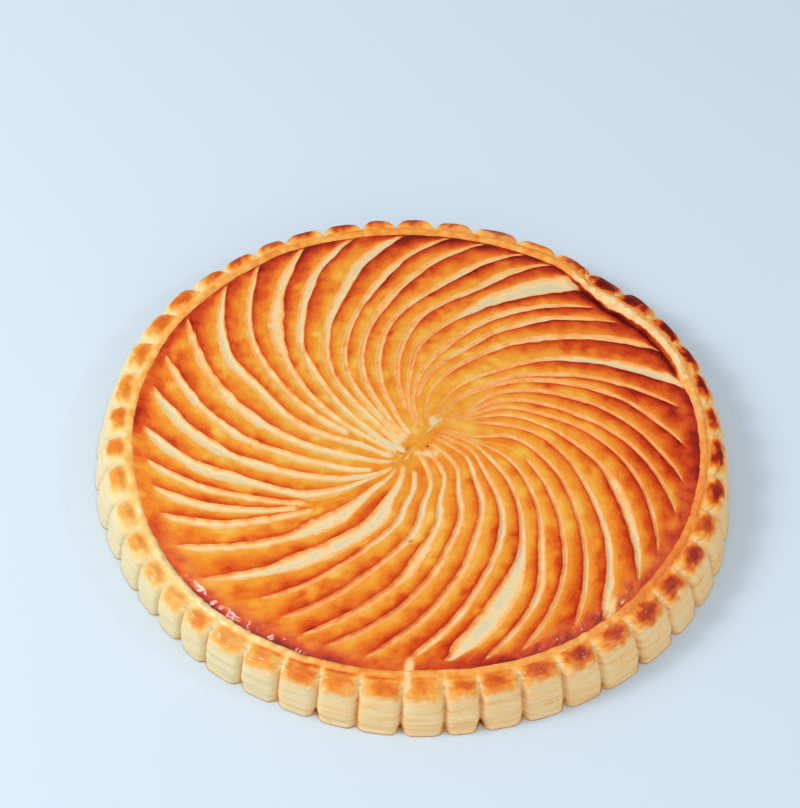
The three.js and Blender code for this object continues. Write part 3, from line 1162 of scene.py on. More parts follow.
    def grid(self) -> Grid:
        """Works out the lid's points and what they say: each layer turns the toast to its own.

        Returns:
            The closed grid.
        """
        at = self.points()
        ridge = at.ridge
        cut_edge = self.torn_edge * ridge.before * np.exp(-ridge.from_start / self.torn_width)
        crumb = ridge.by_zone(ridge.before, cut_edge, ridge.after)
        crumb = crumb * self.open_crumb.at(at.bearing, ridge.share)
        pale = at.spotted(self.pale_spots) + at.grain(self.pale_grain)
        pale = self.pale_most * eased(0.2, 1.0, pale)
        mouth = self.mouth(at)
        hole = eased(*self.hole, at.spotted(self.pits))

        toast = self.skin.toast(at)
        toast = toast + (self.cut.toast(at) - toast) * np.minimum(1.25 * crumb, 1)
        toast = toast + (self.pale_toast + at.grain(self.pale_specks) - toast) * pale
        toast = toast + (self.mouth_toast - toast) * mouth
        # painted shade: the pits turn near black
        toast = toast + (self.hole_shade - toast) * hole
        crumb = np.maximum.reduce([crumb, mouth, hole, pale])
        pooled = self.dry_wash + (1 - self.dry_wash) * self.gloss(at)
        wash = (1 - crumb) * np.maximum(pooled, at.spotted(self.beads))
        wash = wash + self.damp.at(at.bearing, ridge.share) * crumb
        said = {Channel.TOAST: toast, Channel.CRUMB: crumb, Channel.WASH: wash}
        return self.closed(at, said)

    def closed(self, at: LidPoints, said: dict[Channel, Array]) -> Grid:
        """Lays the ridges side by side and closes the lid with a flat, unseen underside.

        Args:
            at: the points.
            said: what they say.

        Returns:
            The grid, whose texture runs round with the swirl and out with the radius.
        """
        rows, columns = len(at.x), at.x[0].size
        middle = self.round.middle()
        points = np.stack([at.x, at.y, self.height(at)], -1).reshape(rows, columns, 3) - middle
        hidden = points[:1].copy()
        hidden[..., 2] = self.hidden_height
        share = at.ridge.share.ravel()
        u = at.ridge.bearing.reshape(rows, columns) / 360
        u = np.concatenate([u, u[:, :1] + 1], axis=1)
        v = np.append(share[0] + 0.01, share)
        channels = {}
        for channel, values in said.items():
            laid = values.reshape(rows, columns)
            channels[channel] = np.clip(np.concatenate([laid[:1], laid]), 0, 1)
        return Grid(
            points=np.concatenate([hidden, points]),
            below=np.array([-middle[0], -middle[1], self.hidden_height]),
            above=points[-1].mean(axis=0),
            across=np.concatenate([u[:1], u]),
            along=np.tile(v[:, None], (1, columns + 1)),
            channels=channels,
        )


# ---- The rim, the wall and the underside ----


@dataclass(frozen=True)
class Profile:
    """Rows of the rim's cross-section, one value a row in each column."""

    radius: Array  # mm, at a flare of 0
    height: Array
    lean: Array  # share of the flare that the row takes
    inset: Array  # how far a nick sets it in, mm
    sink: Array  # how far a nick sinks it, mm
    half_width: Array  # of a nick there, mm
    on_wall: Array  # 1 on the torn wall
    on_top: Array  # 1 on the rim's top
    under: Array  # 1 on the underside
    reach: Array  # mm along the surface, outwards from the crease beside the ring


@dataclass(frozen=True)
class Scallops:
    """Where each column of the rim stands on its scallop: one row of values."""

    number: Array  # of the scallop
    nearest: Array  # number of the nearest nick
    place: Array  # 0 at one nick, 1 at the next
    bearing: Array  # degrees
    from_nick: Array  # mm
    x: Array  # mm, at the rim's radius
    y: Array

    def own(self, number: Array, step: float, seed: int) -> Array:
        """A value from -1 to 1 that each scallop or nick has of its own, by its number."""
        return noise((number * step, 0.0, 0.0), seed)

    def side(self) -> Array:
        """0 in the middle of a scallop, 1 at a nick."""
        return np.abs(2 * self.place - 1)

    def lopsided(self) -> Array:
        """The same from a middle that each scallop has of its own."""
        return np.abs(2 * self.place - 1 - 0.22 * self.own(self.number, 5.1, seed=71))

    def grain(self, grain: Grain, along: Array) -> Array:
        """A grain laid over the rim, at distances along its cross-section."""
        return grain.at(self.x, self.y, along)


@dataclass(frozen=True)
class RimPoints:
    """Where every point of the rim stands, and the noises that its shape and its bake share."""

    row: Profile
    column: Scallops
    nick: Array  # how deep in a nick, 0 to 1
    foot_notch: Array  # how deep in a nick's notch at the foot
    crack: Array  # how deep in a crack across the ring
    thin: Array  # noise of the wall's thin layers
    thick: Array  # noise of its thick ones
    waver: Array  # broad noise
    blot: Array  # finer noise
    ragged: Array  # how ragged the ring is there
    torn: Array  # 1 where the lid has torn from the ring
    glossy: Array  # 1 where the egg wash has pooled
    share: Array  # radius over the rim's


@dataclass(frozen=True)
class RimBrowning:
    """How far the rim has browned and where it is torn, with painted shade in the furrow beside the ring
    and down the nicks. Distances are mm of a profile's reach.
    """

    patch_widths: Marks = (
        (0, 0.8), (20, 1), (45, 1.02), (70, 1), (100, 0.98), (135, 0.88), (165, 0.8), (185, 0.76),
        (205, 0.8), (230, 0.88), (262, 0.92), (285, 0.9), (310, 0.88), (335, 0.84),
    )
    patch_lengths: Marks = (
        (0, 0.95), (30, 1.02), (50, 1.02), (64, 0.94), (90, 1), (140, 1.06), (165, 1.16), (190, 1.14),
        (230, 1.1), (280, 1.05), (320, 1.08),
    )
    patch_middles: Marks = (
        (0, 4.6), (20, 4.3), (50, 4.4), (66, 5.6), (100, 6), (135, 5), (160, 4.3), (200, 4.3), (230, 5.2),
        (280, 5), (325, 5.2),
    )
    patch_toasts: Marks = (
        (0, 0.96), (10, 0.98), (30, 1.12), (50, 1.1), (60, 0.9), (92, 0.9), (110, 0.84), (125, 0.74),
        (140, 0.66), (153, 0.58), (170, 0.48), (190, 0.44), (205, 0.4), (230, 0.4), (255, 0.5),
        (275, 0.54), (287, 0.72), (303, 0.84), (320, 0.77), (340, 0.78), (350, 0.86),
    )
    patch_length: float = 5.4
    patch_power: float = 2.1  # 2 would make a patch an ellipse
    patch_step: Span = (1.42, 0.52)
    patch_from: Span = (-1.6, 1.4)
    core_step: Span = (1.0, 0.28)
    low_core: Hill = Hill(0.45, 306, 26)  # dark cores towards the ring
    halo: Level = Level(0.46, (Hill(0.12, 325, 30),))  # of the core's toast
    halo_start: float = 0.08
    dull: Hill = Hill(0.55, 76, 30)  # where a patch has no shine
    skin_toasts: Marks = (
        (0, 0.16), (45, 0.22), (90, 0.24), (135, 0.14), (180, 0.04), (225, 0.1), (262, 0.26), (300, 0.24),
        (330, 0.2),
    )
    ring_toasts: Marks = (
        (0, 0.36), (10, 0.31), (22, 0.3), (36, 0.32), (45, 0.24), (60, 0.36), (80, 0.34), (110, 0.34),
        (135, 0.3), (150, 0.28), (165, 0.24), (180, 0.21), (205, 0.14), (225, 0.08), (245, 0.14),
        (256, 0.32), (275, 0.32), (288, 0.29), (300, 0.26), (311, 0.3), (320, 0.45), (332, 0.47),
        (345, 0.4),
    )
    ring_middle: float = -2.3
    ring_half_width: float = 2.3
    crease: Level = Level(0.04, (Hill(0.34, 254, 14), Hill(0.12, 300, 30)))  # beside the ring
    crease_place: float = 0.3
    crease_width: float = 0.7
    # painted shade: the ring's inner wall low down, in the gap beside the lid, is darkened, partly
    # browning and partly the shade in that gap, more where the lid has torn away
    furrow: Level = Level(0.16, (Hill(0.3, 60, 50),))
    torn_furrow: Hill = Hill(0.35, 44, 16)
    furrow_span: Span = (-4.4, -5.6)
    wall_toasts: Marks = (
        (0, 0.34), (90, 0.3), (140, 0.18), (190, 0.08), (235, 0.18), (275, 0.38), (330, 0.38),
    )
    foot: Level = Level(0.03, (Hill(0.16, 300, 60),))
    foot_span: Span = (1.1, 0.0)  # heights in mm
    notch: Level = Level(0.32, (Hill(0.62, 288, 48),))
    wall_span: Span = (7.2, 13.4)  # from skin to torn wall
    nick_crumb: float = 0.75
    nick_span: Span = (0.5, 2.0)
    inner_from: Span = (-1.6, -3.2)  # the ring's torn side, next to the lid
    inner_to: Span = (-4.5, -3.6)
    crack_crumb: float = 0.75
    crack_span: Span = (9.5, 7.0)
    flaky_span: Span = (3.0, 1.0)  # from the wall's torn pastry to the ring's
    baked_under: float = 0.46
    under_grains: tuple[Grain, ...] = (Grain(0.16, 14, 3, seed=41), Grain(0.1, 4, 2, seed=45))
    under_crumb: float = 0.45
    wash_step: Span = (-0.4, 0.1)

    def patch(self, at: RimPoints) -> tuple[Array, Array]:
        """The browned patch in the middle of each scallop's top, and its dark core.

        The distance from its middle is (|side / width|^p + |reach from its middle|^p)^(1/p) with p
        the patch_power, wavering with noise.

        Args:
            at: the points.

        Returns:
            How deep in the patch and in the core each point is, 0 to 1.
        """
        column, bearing = at.column, at.column.bearing
        width = around(self.patch_widths, bearing)
        width = width * (1 + 0.14 * column.own(column.number, 2.3, seed=39))
        along = at.row.reach - around(self.patch_middles, bearing)
        along = along - 0.5 * column.own(column.number, 1.7, seed=37)
        along = along / (self.patch_length * around(self.patch_lengths, bearing))
        power = self.patch_power
        distance = ((column.lopsided() / width) ** power + np.abs(along) ** power) ** (1 / power)
        distance = distance + 0.46 * at.waver + 0.34 * at.blot
        patch = eased(*self.patch_step, distance) * eased(*self.patch_from, at.row.reach)
        low = self.low_core.at(bearing)
        core = distance + low * (along + 0.4 * low) + 0.5 * at.blot - 0.25 * at.waver
        return patch, eased(*self.core_step, core)

    def ring(self, at: RimPoints) -> Array:
        """How much a point belongs to the thin ring, e^-((distance / half width)^4)."""
        return np.exp(-(((at.row.reach - self.ring_middle) / self.ring_half_width) ** 4))

    def top_toast(self, at: RimPoints, patch: Array, core: Array) -> Array:
        """How browned the rim's skin is: its patches, the ring and the crease, and darker in the furrow
        down the ring's inner wall, partly as painted shade.

        Args:
            at: the points.
            patch: how deep in a patch they are.
            core: how deep in its core.

        Returns:
            Toast.
        """
        column, bearing, torn, waver, blot = at.column, at.column.bearing, at.torn, at.waver, at.blot
        near_nick = eased(0.6, 0.95, column.lopsided())
        skin = around(self.skin_toasts, bearing) * (1 - 0.5 * near_nick) + 0.06 * waver
        brown = around(self.patch_toasts, bearing) + 0.18 * blot
        brown = brown + 0.09 * column.own(column.number, 1.7, seed=37)
        halo = self.halo.at(bearing) * brown + self.halo_start
        toast = skin + patch * (halo + (brown - halo) * core - skin)
        ring = around(self.ring_toasts, bearing)
        ring = ring + (0.08 + 0.12 * torn) * waver + (0.08 + 0.06 * torn) * blot
        toast = toast + self.ring(at) * (ring - toast)
        in_crease = np.exp(-(((at.row.reach - self.crease_place) / self.crease_width) ** 2))
        toast = toast + self.crease.at(bearing) * in_crease * (1 - at.nick)
        # painted shade, partly browning, down the ring's inner wall in the furrow
        start, end = self.furrow_span
        in_furrow = eased(start + torn, end + torn, at.row.reach) * at.row.on_top
        return toast + (self.furrow.at(bearing) + torn * self.torn_furrow.at(bearing)) * in_furrow

    def wall_toast(self, at: RimPoints) -> Array:
        """How browned the torn layers are: the wall's, darker down each nick as painted shade and at each
        nick's notch at the foot, and the ring's where it is flaky.

        Args:
            at: the points.

        Returns:
            Toast, of use where the pastry is torn only.
        """
        row, bearing, torn, waver, blot = at.row, at.column.bearing, at.torn, at.waver, at.blot
        base = around(self.wall_toasts, bearing)
        # the 0.2 of the nick is painted shade: the wall is darker down each nick
        wall = base + 0.11 * at.thin + 0.1 * waver + 0.2 * at.nick
        wall = wall + eased(*self.foot_span, row.height) * self.foot.at(bearing)
        wall = wall + self.notch.at(bearing) * at.foot_notch**2
        flaky = 0.22 + 0.05 * torn + 0.6 * around(self.ring_toasts, bearing) - 0.08 * at.crack
        flaky = flaky + (0.2 + 0.12 * torn) * blot + (0.16 + 0.12 * torn) * waver
        edge = base - 0.04 + 0.1 * at.thin
        on_top = edge + (flaky - edge) * eased(*self.flaky_span, row.reach)
        return np.where(row.on_top > 0, on_top, wall)

    def torn_share(self, at: RimPoints) -> Array:
        """Where the pastry is torn: the wall, the nicks, the flaky ring, its torn side and its cracks.

        Args:
            at: the points.

        Returns:
            0 on whole skin, 1 on torn pastry.
        """
        row, waver, blot = at.row, at.waver, at.blot
        wall = eased(*self.wall_span, row.reach + 2.0 * waver + 1.2 * blot) * (1 - row.under)
        nicks = self.nick_crumb * at.nick * eased(*self.nick_span, row.reach) * row.on_top
        flaky = at.ragged * self.ring(at) * eased(-0.5, 0.5, blot + waver)
        inner = eased(*self.inner_from, row.reach + 1.4 * waver + 0.5 * blot) * row.on_top
        inner = inner * eased(*self.inner_to, row.reach) * at.torn
        cracks = self.crack_crumb * at.crack * eased(*self.crack_span, row.reach) * row.on_top
        return np.maximum.reduce([wall, nicks, 0.8 * np.clip(flaky, 0, 1), inner, cracks])

    def underside(self, at: RimPoints) -> Array:
        """How browned the evenly baked underside is."""
        x, y = at.column.x * at.share, at.column.y * at.share
        return self.baked_under + sum(grain.at(x, y, 0 * x) for grain in self.under_grains)

    def said(self, at: RimPoints) -> dict[Channel, Array]:
        """What the rim's points say.

        Args:
            at: the points.

        Returns:
            Toast, crumb and wash, each with a value for every point.
        """
        under = at.row.under
        patch, core = self.patch(at)
        crumb = self.torn_share(at)
        toast = self.top_toast(at, patch, core)
        toast = toast + (self.wall_toast(at) - toast) * crumb
        toast = np.where(under > 0, self.underside(at), toast)
        wash = (patch + self.ring(at)) * (1 - 0.5 * crumb) * eased(*self.wash_step, at.blot)
        wash = wash * at.glossy * (1 - under)
        crumb = np.maximum(crumb, self.dull.at(at.column.bearing) * patch)
        crumb = np.where(under > 0, self.under_crumb, crumb)
        said = {Channel.TOAST: toast, Channel.CRUMB: crumb, Channel.WASH: wash}
        return {channel: np.clip(values, 0, 1) for channel, values in said.items()}


@dataclass(frozen=True)
class Rim:
    """Scalloped rim with its nicks, the flaky wall below it and the flat underside. Sizes are in mm."""

    round: Round
    browning: RimBrowning = RimBrowning()
    steps: int = 20  # columns for each scallop
    crowding: float = 0.45  # how far they crowd towards the nicks
    wall_rows: int = 38
    edge_rows: int = 6
    top_rows: int = 26
    hidden_height: float = 12.0
    under_shares: tuple[float, ...] = (0.09, 0.27, 0.45, 0.62, 0.76, 0.87, 0.945, 0.985)
    under_edge: float = 1.6  # how far inside the rim's radius it ends
    foot: Marks = ((-0.9, 0.0), (-0.25, 0.35), (0.0, 1.0))  # out from the rim's radius and up
    belly: float = 0.5
    edge_rounding: float = 2.2
    edge_inset: float = 0.45  # the layers' room inside the outline
    top_knots: Marks = (
        (8, -2.1), (6.8, -1.15), (5.2, -0.65), (3.6, -0.65), (2.3, -0.72), (1.6, -0.66), (1.05, -0.45),
        (0.55, -0.16), (0, 0), (-0.6, -0.08), (-1.3, -0.35), (-1.9, -0.8), (-2.35, -1.5), (-2.65, -2.7),
        (-2.85, -4.4), (-3, -6.4),
    )  # out from and up from the ring's crest
    crease_out: float = 1.6  # the crease beside the ring, from its crest
    edge_out: float = 8.0  # the rim's edge, from its crest
    under_nick: float = 1.2  # a nick's inset and half-width at the foot
    nick_insets: tuple[float, ...] = (1.6, 2.3, 2.7)  # low on the wall, at its top and on the edge
    nick_half_widths: tuple[float, ...] = (0.85, 1.4, 2.0)
    nick_sink: float = 0.9  # on the edge
    ring_nick: float = 1.3  # its half-width beside the ring
    nick_power: float = 1.6
    notch_depth: float = 2.2  # of a nick's notch at the foot
    notch_half_width: float = 2.1
    notch_least: float = 0.3
    notch_span: Span = (6.5, 0.3)  # heights
    notch_under: Span = (120.0, 129.0)  # radii
    drawn_in: float = 1.05  # how far a scallop's sides are drawn in
    drawn_span: Span = (3.0, 10.0)
    crowns: Marks = (
        (0, 0.9), (15, 0.6), (45, 0.45), (58, 0.6), (72, 1.1), (92, 1.4), (140, 1.3), (180, 1.2),
        (270, 0.9), (330, 1),
    )
    crown_power: float = 2.4
    crown_reach: Span = (0.3, 5.0)
    crown_heights: Span = (7.0, 17.0)
    raggedness: Marks = (
        (0, 0.5), (22, 0.9), (45, 1.2), (58, 0.6), (68, 0.25), (150, 0.15), (195, 0.3), (222, 1),
        (250, 0.6), (258, 0.25), (285, 0.2), (300, 0.35), (318, 0.4), (340, 0.5),
    )
    ragged_span: Span = (2.6, -0.5)
    ragged_edge: Grain = Grain(0.55, 2.6, 2, seed=53)
    ragged_peaks: Grain = Grain(0.45, 1.9, 2, seed=55)
    cracks: Marks = ((250.2, 0.3), (270.4, 0.95), (277.4, 0.6), (291.0, 0.35))  # bearing, strength
    crack_half_width: float = 0.8  # degrees
    crack_depth: float = 0.35
    crack_grain: Grain = Grain(0.3, 3, 2, seed=87)
    thin_layer: float = 1.05  # how thick the wall's layers are
    thick_layer: float = 2.4
    thin_flake: float = 0.18  # how far they stand out and in
    thick_flake: float = 0.36
    flake_span: Span = (0.6, 3.0)  # heights
    waver: Grain = Grain(1.0, 4, 3, seed=31)
    blot: Grain = Grain(1.0, 2.3, 3, seed=33)
    lumps: Grain = Grain(1.0, 8, 3, seed=27)
    glossy_lumps: Grain = Grain(0.6, 3.2, 2, seed=73)
    wrinkle: Grain = Grain(0.16, 2.4, 2, seed=47)
    lift_span: Span = (9.0, 1.0)
    crest_span: Span = (9.5, 1.5)
    gap_span: Span = (-2.2, -4.4)
    edge_span: Span = (3.0, 8.0)

    def profile(self) -> Profile:
        """Rows from the underside out, up the wall and in over the ring.

        Up the wall the lean is 1 - (height / wall height)^1.15, with a soft belly. The edge is a
        quarter circle, and the top is a curve through top_knots.

        Returns:
            The profile.
        """
        rim, top, rounding = self.round.rim_radius, self.round.wall_height, self.edge_rounding
        low_inset, wall_inset, edge_inset = self.nick_insets
        low_width, wall_width, edge_width = self.nick_half_widths
        share = np.array(self.under_shares)
        none = np.zeros_like(share)
        inset = np.where(share > 0.98, 0.4, 0.0)
        radius = share * (rim - self.under_edge)
        under = np.stack([radius, none, share, inset, none, none + self.under_nick])
        out, up = np.array(self.foot).T
        whole = np.ones_like(out)
        nick = self.under_nick * whole
        foot = np.stack([rim + out, up, whole, nick, 0 * whole, nick])

        t = np.arange(1, self.wall_rows + 1) / self.wall_rows
        height = 1.0 + (top - rounding - 0.8) * t
        h = height / top
        inset = low_inset + (wall_inset - low_inset) * h**3
        width = low_width + (wall_width - low_width) * h**4
        bulge = self.belly * np.sin(math.pi * h)
        wall = np.stack([rim + bulge, height, 1 - h**1.15, inset, 0 * h, width])

        t = np.arange(1, self.edge_rows + 1) / self.edge_rows
        turn = math.pi / 2 * t
        height = top - rounding + 0.2 + rounding * np.sin(turn)
        radius = rim - rounding + rounding * np.cos(turn)
        inset = wall_inset + (edge_inset - wall_inset) * t
        width = wall_width + (edge_width - wall_width) * t
        edge = np.stack([radius, height, 0 * t, inset, self.nick_sink * t, width])

        knots = np.array(self.top_knots).T
        places = np.linspace(0, knots.shape[1] - 1, self.top_rows)
        out, up = through(np.arange(knots.shape[1]), knots, places)
        far = np.clip((out - self.crease_out) / (self.edge_out - self.crease_out), 0, 1)
        sink = (0.2 + 0.7 * far + 0.7 * np.sin(math.pi * far)) * eased(-1.2, 0.6, out)
        radius, height = self.round.crest_radius + out, self.round.crest_height + up
        width = self.ring_nick + (edge_width - self.ring_nick) * far
        over = np.stack([radius, height, 0 * out, edge_inset * far**1.4, sink, width])

        columns = np.concatenate([under, foot, wall, edge, over], axis=1)
        on_foot = 2  # rows of the foot that still belong to the underside
        sizes = (under.shape[1] + on_foot, 1 + wall.shape[1], edge.shape[1] + over.shape[1])
        on_under, on_wall, on_top = (np.repeat(np.arange(3) == kind, sizes)[:, None] for kind in range(3))
        named = dict(zip(("radius", "height", "lean", "inset", "sink", "half_width"), columns[:, :, None]))
        step = np.hypot(np.diff(columns[0]), np.diff(columns[1]))
        length = np.concatenate([[0], np.cumsum(step)])[:, None]
        crease = len(length) - self.top_rows + np.argmin(np.abs(out - self.crease_out))
        return Profile(
            **named,
            on_wall=on_wall.astype(float),
            on_top=on_top.astype(float),
            under=on_under.astype(float),
            reach=length[crease] - length,
        )

    def scallops(self) -> Scallops:
        """Spreads the columns between the nicks, closer near a nick.

        Returns:
            Where each column stands.
        """
        nicks = np.array(self.round.nicks)
        span = np.diff(np.append(nicks, nicks[0] + 360))
        between = crowded(np.arange(self.steps) / self.steps, self.crowding)
        bearing = (nicks[:, None] + span[:, None] * between).ravel()[None, :]
        place = np.tile(between, len(nicks))[None, :]
        number = np.repeat(np.arange(len(nicks)), self.steps)[None, :]
        arc = np.repeat(span, self.steps)[None, :] * math.radians(1) * self.round.rim_radius
        return Scallops(
            number=number,
            nearest=(number + (place > 0.5)) % len(nicks),
            place=place,
            bearing=bearing,
            from_nick=np.minimum(place, 1 - place) * arc,
            x=np.cos(np.radians(bearing)) * self.round.rim_radius,
            y=np.sin(np.radians(bearing)) * self.round.rim_radius,
        )

    def points(self, row: Profile, column: Scallops) -> RimPoints:
        """Puts rows and columns together.

        A nick is e^-((distance / half width)^nick_power), and its notch at the foot
        e^-((distance / half width)^2), of a strength of its own. A crack is a hill round a bearing
        that strays with noise. The wall's layers are noise that changes fast with the height.

        Args:
            row: the profile.
            column: the columns.

        Returns:
            Where every point stands.
        """
        nick = np.exp(-((column.from_nick / row.half_width) ** self.nick_power))
        notched = np.clip(0.5 + 0.9 * column.own(column.nearest, 3.7, seed=43), 0, 1)
        notched = self.notch_least + (1 - self.notch_least) * notched
        notched = notched * np.exp(-((column.from_nick / self.notch_half_width) ** 2))
        notched = notched * eased(*self.notch_span, row.height)
        at_foot = row.on_wall + row.under * eased(*self.notch_under, row.radius)
        astray = 0.35 * noise((row.reach / 4.0, 0.0, 0.0), seed=83)
        astray = astray + column.grain(self.crack_grain, row.reach)
        cracks = (Hill(size, centre, self.crack_half_width) for centre, size in self.cracks)
        bent = row.height + 0.5 * noise((column.x / 30, column.y / 30, row.height / 9), seed=29)
        return RimPoints(
            row=row,
            column=column,
            nick=nick,
            foot_notch=notched * at_foot,
            crack=sum(crack.at(column.bearing + astray) for crack in cracks),
            thin=noise((column.x / 15, column.y / 15, bent / self.thin_layer), seed=21),
            thick=noise((column.x / 24, column.y / 24, bent / self.thick_layer), seed=23),
            waver=column.grain(self.waver, row.reach),
            blot=column.grain(self.blot, row.reach),
            ragged=around(self.raggedness, column.bearing),
            torn=self.round.torn(column.bearing),
            glossy=self.round.glossy(column.bearing),
            share=row.radius / self.round.rim_radius,
        )

    def outwards(self, at: RimPoints) -> Array:
        """Distance of each point from the middle of the round.

        Args:
            at: the points.

        Returns:
            Distances in mm.
        """
        row, column, bearing = at.row, at.column, at.column.bearing
        above = 1 - row.under
        flake = self.thin_flake * at.thin + self.thick_flake * at.thick
        flake = flake * eased(*self.flake_span, row.height) * row.on_wall
        out = row.radius + row.lean * around(self.round.flares, bearing) - row.inset * at.nick
        out = out - self.notch_depth * at.foot_notch
        out = out - self.drawn_in * column.side() ** 4 * eased(*self.drawn_span, row.reach) * above
        out = out - self.edge_inset * above + flake * (1 - 0.85 * at.nick)

        gap = around(self.round.gaps, bearing) * eased(*self.gap_span, row.reach)
        pull = around(self.round.crest_pulls, bearing) + gap
        pull = pull * eased(*self.crest_span, row.reach) * row.on_top
        edge_share = np.minimum(at.share, 1) * eased(*self.edge_span, row.reach)
        pull = pull + around(self.round.edge_pulls, bearing) * edge_share
        out = out * self.round.roundness(bearing) - pull
        ragged = at.ragged * row.on_top * eased(*self.ragged_span, row.reach)
        return out + ragged * column.grain(self.ragged_edge, row.reach)

    def height(self, at: RimPoints) -> Array:
        """Height of each point: a scallop's crown is 1 - side^crown_power of its height.

        Args:
            at: the points.

        Returns:
            Heights in mm.
        """
        row, column, bearing = at.row, at.column, at.column.bearing
        lumps = column.grain(self.lumps, row.radius)
        on_edge = eased(*self.crown_heights, row.height)
        crown_share = np.where(row.on_top > 0, eased(*self.crown_reach, row.reach), on_edge)
        crown = 1 - column.side() ** self.crown_power
        crown = around(self.crowns, bearing) * crown * crown_share * (1 + 0.25 * lumps)
        lift = around(self.round.ring_lifts, bearing) * eased(*self.lift_span, row.reach)
        lift = lift + 0.3 * lumps + at.glossy * column.grain(self.glossy_lumps, row.reach)
        lift = lift - self.crack_depth * at.crack
        outside = 1 - eased(0.0, -2.0, row.reach)
        lift = lift + column.grain(self.wrinkle, row.radius) * outside
        ragged = at.ragged * eased(*self.ragged_span, row.reach)
        lift = lift + ragged * column.grain(self.ragged_peaks, row.reach)
        sunk = row.sink * at.nick * (1 - 0.5 * at.torn)
        height = row.height - sunk + crown + lift * row.on_top
        return np.where(row.under > 0, row.height, np.maximum(height, 0.0))

    def grid(self) -> Grid:
        """Works out the rim's points and what they say.

        Returns:
            The closed grid.
        """
        at = self.points(self.profile(), self.scallops())
        bearing, reach = at.column.bearing, at.row.reach
        out, height = self.outwards(at), self.height(at)
        middle = self.round.middle()
        x, y = out * np.cos(np.radians(bearing)), out * np.sin(np.radians(bearing))
        rows, columns = out.shape
        u = np.append(bearing.ravel(), bearing[0, 0] + 360) / 360
        return Grid(
            points=np.stack([x, y, height + 0 * out], -1) - middle,
            below=np.array([-middle[0], -middle[1], 0.0]),
            above=np.array([-middle[0], -middle[1], self.hidden_height]),
            across=np.tile(u, (rows, 1)),
            along=np.tile((reach[0] - reach) / 160, (1, columns + 1)),
            channels=self.browning.said(at),
        )


# ---- The baked finish ----


GOLDEN: Stops = (
    (0.0, (0.8, 0.49, 0.125)),
    (0.14, (0.79, 0.41, 0.06)),
    (0.28, (0.775, 0.31, 0.031)),
    (0.42, (0.76, 0.22, 0.019)),
    (0.56, (0.695, 0.128, 0.013)),
    (0.7, (0.57, 0.057, 0.008)),
    (0.84, (0.39, 0.019, 0.005)),
    (1.0, (0.15, 0.007, 0.004)),
)  # egg-washed skin of the lid, from yellow through orange to chestnut
PALE: Stops = (
    (0.0, (0.88, 0.72, 0.4)),
    (0.16, (0.9, 0.54, 0.17)),
    (0.3, (0.83, 0.36, 0.07)),
    (0.43, (0.78, 0.23, 0.024)),
    (0.56, (0.68, 0.13, 0.014)),
    (0.7, (0.53, 0.066, 0.01)),
    (0.84, (0.32, 0.02, 0.008)),
    (1.0, (0.12, 0.007, 0.005)),
)  # skin of the rim, which starts from cream and ends browner
CUT: Stops = (
    (0.0, (0.64, 0.57, 0.365)),
    (0.18, (0.78, 0.61, 0.34)),
    (0.45, (0.875, 0.49, 0.175)),
    (0.62, (0.87, 0.335, 0.088)),
    (0.76, (0.62, 0.17, 0.035)),
    (0.88, (0.36, 0.048, 0.009)),
    (1.0, (0.14, 0.01, 0.004)),
)  # cut pastry in the slashes
LAYERS: Stops = (
    (0.0, (0.7, 0.635, 0.415)),
    (0.22, (0.8, 0.66, 0.38)),
    (0.42, (0.86, 0.555, 0.25)),
    (0.6, (0.74, 0.38, 0.135)),
    (0.8, (0.38, 0.17, 0.05)),
    (1.0, (0.12, 0.04, 0.012)),
)  # torn layers of the wall


